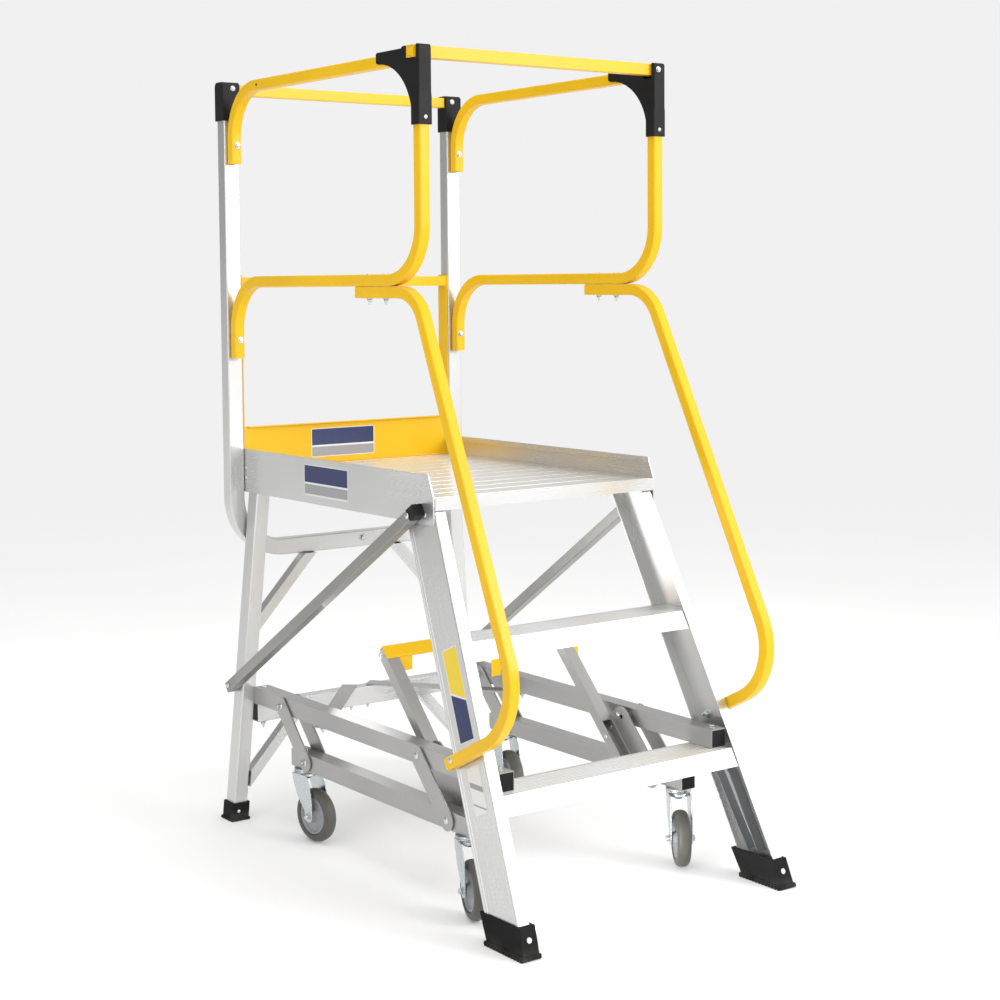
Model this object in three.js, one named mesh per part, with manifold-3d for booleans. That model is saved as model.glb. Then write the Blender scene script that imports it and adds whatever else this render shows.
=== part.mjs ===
// Mobile platform ladder: aluminium frame, yellow guard rails, and four
// castors on a pull-up linkage. Millimetres, +Z up, climber faces +Y.
// The drawing datum has y = 0 at the rear ends of the guard rails; the group
// is then moved so the origin is on the floor under the middle of the ladder.
import * as THREE from 'three';
import { mergeVertices } from 'three/addons/utils/BufferGeometryUtils.js';
import Module from 'manifold-3d';

const wasm = await Module();
wasm.setup();

// ---------- driving dimensions ----------
const FRAME_SHIFT_Y = 549;
const GAP = 0.3;

const STEP_RISE = 287;
const DECK_Z = 3 * STEP_RISE;
const DECK_FRONT_Y = -786;
const DECK_REAR_Y = 62;
const DECK_HALF_X = 301.6;
const DECK_SKIN = 3;
const DECK_DEPTH = 27;
const PLANK_PITCH = 65;
const RIB_PITCH = PLANK_PITCH / 3;
const RIB_DEPTH = 1.2;

const PANEL_X = [302, 305.2];
const PANEL_Z = [803, 908];

const HOOP_HALF_X = 326;
const HOOP_TOP_Z = 1780;
const HOOP_BOTTOM_Z = 658;
const HOOP_RADIUS = 130;
const HOOP_SECTION = [35, 40, 3];
const HOOP_Y = 45.5;

const LEG_SECTION = [36, 44, 3];
const LEG_SPLAY = 0.0816;
const LEG_LEAN = 0.036;
const LEG_TOP_Z = 842.6;
const LEG_BOTTOM_Z = 7;
const LEG_OUTER_AT_FLOOR = 367;
const LEG_Y_AT_FLOOR = 25;

const CROSSBAR_Z = [241, 287];
const CROSSBAR_Y = [-22, 13];
const CROSSBAR_WALL = 3;
const CROSSBAR_HALF_X = 307.2;

const STILE_DEPTH_Y = 113;
const STILE_FLANGE = 27.7;
const STILE_WALL = 3;
const STILE_LEAN = 0.467;
const STILE_SPLAY = 0.078;
const STILE_REF_Z = 803;
const STILE_OUTER_AT_REF = 301.5;
const STILE_FRONT_AT_REF = -791;
const STILE_TOP_Z = 833.6;
const STILE_BOTTOM_Z = 12;

const UPPER_TUBE_X = 290.5;
const UPPER_TUBE_Z = 307.3;
const UPPER_TUBE_Y = [-1010, -9.4];
const TUBE_SIDE = 40;
const TUBE_WALL = 2.5;
const LOWER_TUBE_Z = 191.5;
const LOWER_TUBE_Y = [-913, -187];

const LINK_PIVOT_Z = 306;
const REAR_PIVOT_Y = -147.6;
const FRONT_PIVOT_Y = -724.3;
const LINK_DY = -109;
const LINK_DZ = LOWER_TUBE_Z - LINK_PIVOT_Z;
const LINK_WIDTH = 45;
const LINK_PLATE = 4;
const REAR_LINK_INNER_X = 265.6;
const FRONT_LINK_INNER_X = 255;
const LINK_OUTER_X = 311.4;
const SPACER_R = 9;
const SPACER_X = [258, 270.2];
const PIN_R = 5;
const PIN_HOLE_R = 5.08;
const OPEN_PIVOT_HOLE_R = 6.5;

const LEVER_X = [223, 254.7];
const LEVER_WALL = 2.5;
const LEVER_FRONT = 31;
const LEVER_BACK = 56;
const LEVER_TOP = 289;
const LEVER_BOTTOM = -150;
const LEVER_NOTCH_TOP = 14;

const LIFT_BAR_X = [-255, 292];
const LIFT_BAR_ALONG = [260, 290];
const LIFT_BAR_BEHIND = [LEVER_FRONT - 3.3, LEVER_FRONT - 0.3];
const LIFT_BAR_LIP = 12;
// Each tongue's reach in x, and the height it hangs down to.
const LIFT_BAR_TONGUES = [[[-222.6, -187], 441], [[35, 60], 394], [[276, 292], 397]];

const CASTOR_SWIVEL_Y = { front: -880, rear: -222 };
const WHEEL_R = 62.5;
const WHEEL_WIDTH = 32;
const WHEEL_AXLE_Z = 63.7;
const HUB_HALF_WIDTH = 21.4;
const CASTOR_TRAIL = 36;
const FORK_INNER_X = 22;
const FORK_OUTER_X = 25;
const RACEWAY_R = 29;
const STEM_R = 6;
const STEM_HOLE_R = 6.08;
const AXLE_R = 4;
const AXLE_HOLE_R = 4.07;

const RAIL_X = 326.6;
const RAIL_TOE_IN = 0.0105;
const RAIL_SIDE = 25.4;
const RAIL_WALL = 2;
const RAIL_BEND = 116;
const RAIL_REAR_Y = 13.7;
const TOP_RAIL_Z = 1772.5;
const MID_RAIL_Z = 1314.5;
const POST_Y = -771.7;

const BRACKET_HALF_WIDTH = 17.3;
const BAR_Y = [-776, -751];
const BAR_Z = [1769.3, 1794.3];
const BAR_PIVOT = [315, 1781.8];

// ---------- colours ----------
const ALUMINIUM = [0xb4b4b2, 0.32, 0.9];
const YELLOW = [0xf2bd12, 0.38, 0.0];
const BLACK_PLASTIC = [0x19191a, 0.5, 0.0];
const BLACK_RUBBER = [0x121212, 0.8, 0.0];
const ZINC = [0x9a9c9c, 0.3, 0.9];
const TYRE_GREY = [0x4d4b44, 0.7, 0.0];

const ladder = new THREE.Group();
ladder.position.y = FRAME_SHIFT_Y;

// ---------- geometry helpers ----------
function solid(geometry) {
  const bare = geometry.clone();
  bare.deleteAttribute('normal');
  bare.deleteAttribute('uv');
  const merged = mergeVertices(bare, 1e-4);
  const vertProperties = new Float32Array(merged.getAttribute('position').array);
  const triVerts = new Uint32Array(merged.getIndex().array);
  return new wasm.Manifold(new wasm.Mesh({ numProp: 3, vertProperties, triVerts }));
}

function toGeometry(body) {
  const mesh = body.getMesh();
  const geometry = new THREE.BufferGeometry();
  geometry.setAttribute('position', new THREE.BufferAttribute(new Float32Array(mesh.vertProperties), 3));
  geometry.setIndex(new THREE.BufferAttribute(new Uint32Array(mesh.triVerts), 1));
  geometry.computeVertexNormals();
  return geometry;
}

function mirrored(geometry) {
  const copy = geometry.index ? geometry.clone() : mergeVertices(geometry.clone());
  copy.scale(-1, 1, 1);
  const index = copy.getIndex().array;
  for (let i = 0; i < index.length; i += 3) {
    const swap = index[i + 1];
    index[i + 1] = index[i + 2];
    index[i + 2] = swap;
  }
  copy.computeVertexNormals();
  return copy;
}

function add(name, geometry, [color, roughness, metalness]) {
  const material = new THREE.MeshStandardMaterial({ color, roughness, metalness });
  const mesh = new THREE.Mesh(geometry, material);
  mesh.name = name;
  ladder.add(mesh);
}

function addPair(name, rightGeometry, finish) {
  add(`${name}_right`, rightGeometry, finish);
  add(`${name}_left`, mirrored(rightGeometry), finish);
}

function box(x, y, z) {
  const geometry = new THREE.BoxGeometry(x[1] - x[0], y[1] - y[0], z[1] - z[0]);
  geometry.translate((x[0] + x[1]) / 2, (y[0] + y[1]) / 2, (z[0] + z[1]) / 2);
  return geometry;
}

function shapeOf(points) {
  return new THREE.Shape(points.map(([a, b]) => new THREE.Vector2(a, b)));
}

// Outline in Y and Z, extruded along X.
function prismX(points, x) {
  const geometry = new THREE.ExtrudeGeometry(shapeOf(points), { depth: x[1] - x[0], bevelEnabled: false });
  const turn = new THREE.Matrix4().makeBasis(
    new THREE.Vector3(0, 1, 0), new THREE.Vector3(0, 0, 1), new THREE.Vector3(1, 0, 0));
  geometry.applyMatrix4(turn);
  geometry.translate(x[0], 0, 0);
  return geometry;
}

// Outline in X and Y, extruded along Z.
function prismZ(points, z, hole) {
  const shape = shapeOf(points);
  if (hole) shape.holes.push(new THREE.Path(hole.map(([a, b]) => new THREE.Vector2(a, b))));
  const geometry = new THREE.ExtrudeGeometry(shape, { depth: z[1] - z[0], bevelEnabled: false });
  geometry.translate(0, 0, z[0]);
  return geometry;
}

function rectangle(x, y, chamfer = 0) {
  if (chamfer === 0) return [[x[0], y[0]], [x[1], y[0]], [x[1], y[1]], [x[0], y[1]]];
  const c = chamfer;
  return [[x[0] + c, y[0]], [x[1] - c, y[0]], [x[1], y[0] + c], [x[1], y[1] - c],
    [x[1] - c, y[1]], [x[0] + c, y[1]], [x[0], y[1] - c], [x[0], y[0] + c]];
}

function inset([a, b], wall) {
  return [a + wall, b - wall];
}

// Shears an upright piece so that x and y drift with height above refZ.
function lean(geometry, perX, perY, refZ) {
  const shear = new THREE.Matrix4().set(
    1, 0, perX, -perX * refZ,
    0, 1, perY, -perY * refZ,
    0, 0, 1, 0,
    0, 0, 0, 1);
  geometry.applyMatrix4(shear);
  return geometry;
}

function cylinderAlong(axis, radius, length, centre, segments = 20) {
  const geometry = new THREE.CylinderGeometry(radius, radius, length, segments);
  if (axis === 'x') geometry.rotateZ(Math.PI / 2);
  if (axis === 'z') geometry.rotateX(Math.PI / 2);
  geometry.translate(...centre);
  return geometry;
}

// A path held as exact stations, so straight runs cost one step.
class StationPath extends THREE.Curve {
  constructor(stations) {
    super();
    this.stations = stations;
  }

  station(u) {
    return this.stations[Math.round(u * (this.stations.length - 1))];
  }

  getPointAt(u, target = new THREE.Vector3()) {
    return target.copy(this.station(u).point);
  }

  getTangentAt(u, target = new THREE.Vector3()) {
    return target.copy(this.station(u).tangent);
  }
}

// Straight runs joined by arcs at the inner corners.
function filletPath(corners, radii, stepsPerArc = 6) {
  const points = corners.map((corner) => new THREE.Vector3(...corner));
  const stations = [];
  const heading = (i) => points[i + 1].clone().sub(points[i]).normalize();
  stations.push({ point: points[0], tangent: heading(0) });
  for (let i = 1; i < points.length - 1; i++) {
    const into = heading(i - 1);
    const out = heading(i);
    const angle = into.angleTo(out);
    const radius = radii[i - 1];
    const reach = radius * Math.tan(angle / 2);
    const start = points[i].clone().addScaledVector(into, -reach);
    const side = out.clone().addScaledVector(into, -into.dot(out)).normalize();
    const centre = start.clone().addScaledVector(side, radius);
    for (let k = 0; k <= stepsPerArc; k++) {
      const a = (angle * k) / stepsPerArc;
      const point = centre.clone()
        .addScaledVector(side, -radius * Math.cos(a))
        .addScaledVector(into, radius * Math.sin(a));
      const tangent = into.clone().multiplyScalar(Math.cos(a)).addScaledVector(side, Math.sin(a));
      stations.push({ point, tangent });
    }
  }
  const last = points.length - 1;
  stations.push({ point: points[last], tangent: heading(last - 1) });
  return new StationPath(stations);
}

// Hollow box-section tube along a path; the ends are open.
function boxTube(path, [width, height, wall], chamfer = 2.5) {
  const halfW = width / 2;
  const halfH = height / 2;
  const shape = shapeOf(rectangle([-halfW, halfW], [-halfH, halfH], chamfer));
  const bore = rectangle([wall - halfW, halfW - wall], [wall - halfH, halfH - wall]);
  shape.holes.push(new THREE.Path(bore.map(([a, b]) => new THREE.Vector2(a, b))));
  const steps = path.stations.length - 1;
  return new THREE.ExtrudeGeometry(shape, { steps, extrudePath: path, bevelEnabled: false });
}

function cutAll(body, tools) {
  return tools.reduce((rest, tool) => rest.subtract(solid(tool)), body);
}

function joinAll(geometries) {
  return geometries.map(solid).reduce((whole, next) => whole.add(next));
}

// ---------- rear frame ----------
function rearHoop() {
  const path = filletPath([
    [HOOP_HALF_X, HOOP_Y, HOOP_TOP_Z],
    [HOOP_HALF_X, HOOP_Y, HOOP_BOTTOM_Z],
    [-HOOP_HALF_X, HOOP_Y, HOOP_BOTTOM_Z],
    [-HOOP_HALF_X, HOOP_Y, HOOP_TOP_Z],
  ], [HOOP_RADIUS, HOOP_RADIUS], 8);
  add('rear_hoop_frame', boxTube(path, HOOP_SECTION), ALUMINIUM);
}

function legOutline(extra = 0) {
  const x = [LEG_OUTER_AT_FLOOR - LEG_SECTION[0] - extra, LEG_OUTER_AT_FLOOR + extra];
  const halfY = LEG_SECTION[1] / 2 + extra;
  return [x, [LEG_Y_AT_FLOOR - halfY, LEG_Y_AT_FLOOR + halfY]];
}

function leanAsLeg(geometry) {
  return lean(geometry, -LEG_SPLAY, -LEG_LEAN, 0);
}

function rearLeg() {
  const [x, y] = legOutline();
  const wall = LEG_SECTION[2];
  const tube = prismZ(rectangle(x, y, 2.5), [LEG_BOTTOM_Z, LEG_TOP_Z], rectangle(inset(x, wall), inset(y, wall)));
  addPair('rear_leg', leanAsLeg(tube), ALUMINIUM);
}

function rearBoot() {
  const [x, y] = legOutline(5);
  const sleeve = leanAsLeg(prismZ(rectangle(x, y, 3), [0, 44]));
  const sole = prismZ(rectangle(inset(x, -3), inset(y, -3), 3), [0, 6]);
  const [legX, legY] = legOutline(GAP);
  const pocket = leanAsLeg(prismZ(rectangle(legX, legY), [LEG_BOTTOM_Z - GAP, 60]));
  const body = cutAll(joinAll([sleeve, sole]), [pocket]);
  addPair('rear_boot', toGeometry(body), BLACK_RUBBER);
}

function lowerCrossbar() {
  const bar = box([-CROSSBAR_HALF_X, CROSSBAR_HALF_X], CROSSBAR_Y, CROSSBAR_Z);
  const bore = box([-CROSSBAR_HALF_X - 5, CROSSBAR_HALF_X + 5],
    inset(CROSSBAR_Y, CROSSBAR_WALL), inset(CROSSBAR_Z, CROSSBAR_WALL));
  add('lower_rear_crossbar', toGeometry(cutAll(solid(bar), [bore])), ALUMINIUM);
}

// Square tube between two points of the X-Z plane, trimmed flush at both ends.
function kneeBrace(name, [x0, z0], [x1, z1], y, ceilingZ) {
  const length = Math.hypot(x1 - x0, z1 - z0) + 80;
  const angle = Math.atan2(z1 - z0, x1 - x0);
  const place = (geometry) => {
    geometry.rotateY(-angle);
    geometry.translate((x0 + x1) / 2, 0, (z0 + z1) / 2);
    return geometry;
  };
  const half = 12.5;
  const outer = place(box([-length / 2, length / 2], y, [-half, half]));
  const bore = place(box([-length, length], inset(y, 2), [2 - half, half - 2]));
  const above = box([-50, 400], [-60, 90], [ceilingZ - GAP, ceilingZ + 120]);
  const [legX] = legOutline();
  const outside = leanAsLeg(box([legX[0] - GAP, legX[0] + 150], [-60, 90], [-20, LEG_TOP_Z]));
  const body = cutAll(solid(outer), [bore, above, outside]);
  addPair(name, toGeometry(body), ALUMINIUM);
}

function cornerBrace() {
  const start = new THREE.Vector3(28, 5, 290);
  const end = new THREE.Vector3(300, -312, 284.2);
  const along = end.clone().sub(start);
  const bar = new THREE.BoxGeometry(along.length(), 38, 4);
  const dir = along.clone().normalize();
  const across = new THREE.Vector3(0, 0, 1).cross(dir).normalize();
  const up = dir.clone().cross(across);
  const middle = start.clone().add(end).multiplyScalar(0.5);
  bar.applyMatrix4(new THREE.Matrix4().makeBasis(dir, across, up));
  bar.translate(middle.x, middle.y, middle.z);
  addPair('corner_brace', bar, ALUMINIUM);
}

// ---------- castor linkage ----------
function longTube(y, z, holes) {
  const half = TUBE_SIDE / 2;
  const x = [UPPER_TUBE_X - half, UPPER_TUBE_X + half];
  const outer = prismX(rectangle(y, [z - half, z + half]), x);
  const bore = box(inset(x, TUBE_WALL), inset(y, -5), inset([z - half, z + half], TUBE_WALL));
  return cutAll(solid(outer), [bore, ...holes]);
}

function pinHole(y, z, radius = PIN_HOLE_R) {
  return cylinderAlong('x', radius, 60, [UPPER_TUBE_X, y, z], 24);
}

function upperTube() {
  const body = longTube(UPPER_TUBE_Y, UPPER_TUBE_Z, [
    pinHole(REAR_PIVOT_Y, LINK_PIVOT_Z),
    pinHole(FRONT_PIVOT_Y, LINK_PIVOT_Z),
  ]);
  addPair('upper_tube', toGeometry(body), ALUMINIUM);
}

function lowerTube() {
  const stem = (y) => cylinderAlong('z', STEM_HOLE_R, 80, [UPPER_TUBE_X, y, LOWER_TUBE_Z], 24);
  const body = longTube(LOWER_TUBE_Y, LOWER_TUBE_Z, [
    pinHole(REAR_PIVOT_Y + LINK_DY, LOWER_TUBE_Z, OPEN_PIVOT_HOLE_R),
    pinHole(FRONT_PIVOT_Y + LINK_DY, LOWER_TUBE_Z),
    stem(CASTOR_SWIVEL_Y.rear),
    stem(CASTOR_SWIVEL_Y.front),
  ]);
  addPair('castor_carrier', toGeometry(body), ALUMINIUM);
}

// Flat bar with two round ends between the link's two pivots.
function linkOutline(pivotY) {
  const angle = Math.atan2(LINK_DZ, LINK_DY);
  const radius = LINK_WIDTH / 2;
  const points = [];
  const arc = (cy, cz, from) => {
    for (let k = 0; k <= 8; k++) {
      const a = from + (Math.PI * k) / 8;
      points.push([cy + radius * Math.cos(a), cz + radius * Math.sin(a)]);
    }
  };
  arc(pivotY + LINK_DY, LINK_PIVOT_Z + LINK_DZ, angle - Math.PI / 2);
  arc(pivotY, LINK_PIVOT_Z, angle + Math.PI / 2);
  return points;
}

// One round bar through each of the link's two pivots.
function linkPins(pivotY, x, radius) {
  const length = x[1] - x[0];
  const middleX = x[0] + length / 2;
  const pin = (y, z) => cylinderAlong('x', radius, length, [middleX, y, z]);
  return [pin(pivotY, LINK_PIVOT_Z), pin(pivotY + LINK_DY, LOWER_TUBE_Z)];
}

function rearLink() {
  const outline = linkOutline(REAR_PIVOT_Y);
  const inner = prismX(outline, [REAR_LINK_INNER_X, REAR_LINK_INNER_X + LINK_PLATE]);
  const outer = prismX(outline, [LINK_OUTER_X, LINK_OUTER_X + LINK_PLATE]);
  const pins = linkPins(REAR_PIVOT_Y, [REAR_LINK_INNER_X, LINK_OUTER_X + LINK_PLATE], PIN_R);
  addPair('rear_link', toGeometry(joinAll([inner, outer, ...pins])), ALUMINIUM);
}

// Point measured along the lever from the front upper pivot, and behind it.
function leverPoint(along, behind) {
  const length = Math.hypot(LINK_DY, LINK_DZ);
  const upY = -LINK_DY / length;
  const upZ = -LINK_DZ / length;
  return [FRONT_PIVOT_Y + along * upY + behind * upZ, LINK_PIVOT_Z + along * upZ - behind * upY];
}

function frontLink() {
  const length = Math.hypot(LINK_DY, LINK_DZ);
  const ear = [
    leverPoint(26, LEVER_BACK), leverPoint(26, -6), leverPoint(12, -20), leverPoint(0, -22.5),
    leverPoint(-length, -22.5), leverPoint(-length - 16, -16), leverPoint(-length - 22.5, 0),
    leverPoint(-length - 22.5, 20), leverPoint(-length + 12, LEVER_BACK),
  ];
  const inner = prismX(ear.reverse(), [FRONT_LINK_INNER_X, FRONT_LINK_INNER_X + LINK_PLATE]);
  const outer = prismX(linkOutline(FRONT_PIVOT_Y), [LINK_OUTER_X, LINK_OUTER_X + LINK_PLATE]);
  const pins = linkPins(FRONT_PIVOT_Y, [FRONT_LINK_INNER_X, LINK_OUTER_X + LINK_PLATE], PIN_R);
  const spacers = linkPins(FRONT_PIVOT_Y, SPACER_X, SPACER_R);
  addPair('front_link', toGeometry(joinAll([inner, outer, ...pins, ...spacers])), ALUMINIUM);
}

// Rectangle between two lever stations and two depths behind the pivot line.
function leverRectangle(along, behind) {
  return [
    leverPoint(along[1], behind[1]), leverPoint(along[0], behind[1]),
    leverPoint(along[0], behind[0]), leverPoint(along[1], behind[0]),
  ];
}

function leverArm() {
  const along = [LEVER_BOTTOM, LEVER_TOP];
  const behind = [LEVER_FRONT, LEVER_BACK];
  const through = inset(along, -9);
  const boreX = inset(LEVER_X, LEVER_WALL);
  const tube = solid(prismX(leverRectangle(along, behind), LEVER_X));
  const bore = prismX(leverRectangle(through, inset(behind, LEVER_WALL)), boreX);
  const notch = prismX(
    leverRectangle([through[0], LEVER_NOTCH_TOP], [LEVER_FRONT - 5, LEVER_FRONT + 6]), boreX);
  addPair('lever_arm', toGeometry(cutAll(tube, [bore, notch])), ALUMINIUM);
}

// Bent plate across both levers: a face, a lip over the lever ends and hanging tongues.
function liftBar() {
  const [front, back] = LIFT_BAR_BEHIND;
  const [low, high] = LIFT_BAR_ALONG;
  const thick = back - front;
  const face = prismX(leverRectangle([low, high + thick], [front, back]), LIFT_BAR_X);
  const lip = prismX(leverRectangle([high, high + thick], [front, back + LIFT_BAR_LIP]), LIFT_BAR_X);
  const [rootY, rootZ] = leverPoint(low + 5, (front + back) / 2);
  const tongues = LIFT_BAR_TONGUES.map(([x, endZ]) => prismX([
    [rootY - thick / 2, rootZ], [rootY - thick / 2, endZ + 2], [rootY, endZ],
    [rootY + thick / 2, endZ + 2], [rootY + thick / 2, rootZ],
  ], x));
  add('lift_bar', toGeometry(joinAll([face, lip, ...tongues])), YELLOW);
}

function castorFork() {
  const topZ = LOWER_TUBE_Z - TUBE_SIDE / 2 - GAP;
  const crownTop = topZ - 12;
  const stemTop = LOWER_TUBE_Z + TUBE_SIDE / 2 + 4;
  const stem = cylinderAlong('z', STEM_R, stemTop - topZ + 4, [0, 0, (stemTop + topZ - 4) / 2]);
  const race = cylinderAlong('z', RACEWAY_R, 13, [0, 0, topZ - 6.5], 28);
  const crown = box([-FORK_OUTER_X, FORK_OUTER_X], [-30, 22], [crownTop - 8, crownTop]);
  const axleY = -CASTOR_TRAIL;
  const cheek = [
    [22, crownTop], [18, crownTop - 20], [axleY + 15, WHEEL_AXLE_Z + 3], [axleY + 11, WHEEL_AXLE_Z - 8],
    [axleY, WHEEL_AXLE_Z - 13], [axleY - 11, WHEEL_AXLE_Z - 8], [axleY - 14, WHEEL_AXLE_Z + 6],
    [axleY - 10, WHEEL_AXLE_Z + 50], [-30, crownTop],
  ].reverse();
  const cheeks = [[-FORK_OUTER_X, -FORK_INNER_X], [FORK_INNER_X, FORK_OUTER_X]].map((x) => prismX(cheek, x));
  const axle = cylinderAlong('x', AXLE_R, 64, [0, axleY, WHEEL_AXLE_Z], 16);
  return toGeometry(joinAll([stem, race, crown, ...cheeks, axle]));
}

function castorWheel() {
  const half = WHEEL_WIDTH / 2;
  const hub = HUB_HALF_WIDTH;
  const profile = [
    [AXLE_HOLE_R, -hub], [13, -hub], [15, -8], [42, -8], [45, -half + 1], [54, -half],
    [60.5, -9], [WHEEL_R, -3], [WHEEL_R, 3], [60.5, 9], [54, half], [45, half - 1], [42, 8], [15, 8],
    [13, hub], [AXLE_HOLE_R, hub], [AXLE_HOLE_R, -hub],
  ].map(([r, h]) => new THREE.Vector2(r, h));
  const wheel = new THREE.LatheGeometry(profile, 24);
  wheel.rotateZ(Math.PI / 2);
  wheel.translate(0, -CASTOR_TRAIL, WHEEL_AXLE_Z);
  return wheel;
}

// Each castor is parked at its own swivel angle.
function castors() {
  const parked = [
    ['front_left', -1, 'front', 19], ['front_right', 1, 'front', 33],
    ['rear_left', -1, 'rear', -7], ['rear_right', 1, 'rear', 13],
  ];
  for (const [name, side, end, degrees] of parked) {
    const place = (geometry) => {
      geometry.rotateZ(-THREE.MathUtils.degToRad(degrees));
      geometry.translate(side * UPPER_TUBE_X, CASTOR_SWIVEL_Y[end], 0);
      return geometry;
    };
    add(`castor_fork_${name}`, place(castorFork()), ZINC);
    add(`castor_wheel_${name}`, place(castorWheel()), TYRE_GREY);
  }
}

// ---------- front stiles and treads ----------
function leanAsStile(geometry) {
  return lean(geometry, -STILE_SPLAY, STILE_LEAN, STILE_REF_Z);
}

// Channel section, open side inwards, with bulb ribs outside the web.
function frontStile() {
  const out = STILE_OUTER_AT_REF;
  const front = STILE_FRONT_AT_REF;
  const back = front + STILE_DEPTH_Y;
  const web = out - STILE_WALL;
  const tip = out - STILE_FLANGE;
  const section = [
    [out - 0.9, front + 1], [out, front + 3], [out, front + 8], [out - 0.9, front + 9],
    [out - 0.9, back - 15], [out, back - 14], [out, back - 9], [out - 0.9, back - 8],
    [out - 0.9, back - 6], [out, back - 5], [out, back - 1], [out - 1, back],
    [tip, back], [tip, back - STILE_WALL], [web, back - STILE_WALL],
    [web, front + STILE_WALL], [tip, front + STILE_WALL], [tip, front], [out - 1.9, front],
  ];
  const channel = leanAsStile(prismZ(section, [STILE_BOTTOM_Z, STILE_TOP_Z]));
  addPair('front_stile', channel, ALUMINIUM);
}

function stileFrontY(z) {
  return STILE_FRONT_AT_REF + STILE_LEAN * (z - STILE_REF_Z);
}

function stileOuterX(z) {
  return STILE_OUTER_AT_REF - STILE_SPLAY * (z - STILE_REF_Z);
}

// Sleeve over the stile's end, on a wider sole with cross grooves.
function frontBoot() {
  const frontTop = stileFrontY(62) - 8;
  const backTop = frontTop + STILE_DEPTH_Y + 17;
  const toe = -1165;
  const heel = -1042;
  const soleTop = 10;
  const teeth = 9;
  const grooves = [];
  for (let k = 0; k < teeth; k++) {
    const y = toe + ((heel - toe) * k) / teeth;
    grooves.push([y + 1, 0], [y + 9, 0], [y + 11, 3]);
  }
  const soleSide = [
    [heel, soleTop], [toe - 1, soleTop], [toe - 3, 3], ...grooves, [heel + 1, 0], [heel + 3, 7],
  ];
  const sleeveSide = [[backTop, 60], [frontTop, 62], [toe + 1, soleTop - 2], [heel - 1, soleTop - 2]];
  const floorX = stileOuterX(0);
  const sole = prismX(soleSide, [floorX - 39, floorX + 7]);
  const sleeve = prismX(sleeveSide, [floorX - 36, floorX + 3]);
  const body = toGeometry(joinAll([sole, sleeve]));
  lean(body, -STILE_SPLAY, 0, 0);
  const stile = leanAsStile(box(
    [STILE_OUTER_AT_REF - STILE_FLANGE - GAP, STILE_OUTER_AT_REF + GAP],
    [STILE_FRONT_AT_REF - GAP, STILE_FRONT_AT_REF + STILE_DEPTH_Y + GAP],
    [STILE_BOTTOM_Z - GAP, 120]));
  addPair('front_boot', toGeometry(cutAll(solid(body), [stile])), BLACK_RUBBER);
}

// Curved channel inside each stile, from the lower tread down to the boot.
function stileStiffener() {
  const front = [[-1001, 247], [-1013, 232], [-1024, 212], [-1046, 165], [-1093, 66]];
  const back = [[-1060, 66], [-1012, 150], [-986, 198], [-974, 218], [-963, 232], [-956, 247]];
  const band = (outer, inner) => [...outer, ...inner];
  const shifted = (line, by) => line.map(([y, z]) => [y + by, z]);
  const reversed = (line) => [...line].reverse();
  const x = [STILE_OUTER_AT_REF - STILE_WALL - 3 - GAP, STILE_OUTER_AT_REF - STILE_WALL - GAP];
  const flangeX = [x[0] - 19, x[1]];
  const web = prismX(band(front, back), x);
  const frontFlange = prismX(band(front, reversed(shifted(front, 3.4))), flangeX);
  const backFlange = prismX(band(shifted(back, -3.4), reversed(back)), flangeX);
  const body = toGeometry(joinAll([web, frontFlange, backFlange]));
  addPair('stile_stiffener', lean(body, -STILE_SPLAY, 0, STILE_REF_Z), ALUMINIUM);
}

// Ribbed channel tread with a deep front lip parallel to the stiles.
function tread(name, topZ) {
  const frontY = stileFrontY(topZ) + STILE_WALL + GAP + 0.6;
  const lip = 38;
  const lipShift = STILE_LEAN * lip;
  const rearLip = 24;
  const rearShift = STILE_LEAN * rearLip;
  const depth = 92;
  const halfX = stileOuterX(topZ) - STILE_WALL - 0.6;
  const points = [[frontY, topZ - 1.5], [frontY + 1.5, topZ]];
  const ribs = 9;
  for (let k = 0; k < ribs; k++) {
    const y = frontY + 6 + (k * (depth - 12)) / ribs;
    points.push([y, topZ], [y + 1, topZ - 1.2], [y + 3, topZ - 1.2], [y + 4, topZ]);
  }
  points.push([frontY + depth, topZ], [frontY + depth - rearShift, topZ - rearLip]);
  points.push([frontY + depth - 3 - rearShift, topZ - rearLip]);
  points.push([frontY + depth - 3, topZ - 4], [frontY + 3, topZ - 4]);
  points.push([frontY + 3 - lipShift, topZ - lip], [frontY - lipShift, topZ - lip]);
  add(name, prismX(points.reverse(), [-halfX, halfX]), ALUMINIUM);
}

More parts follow.
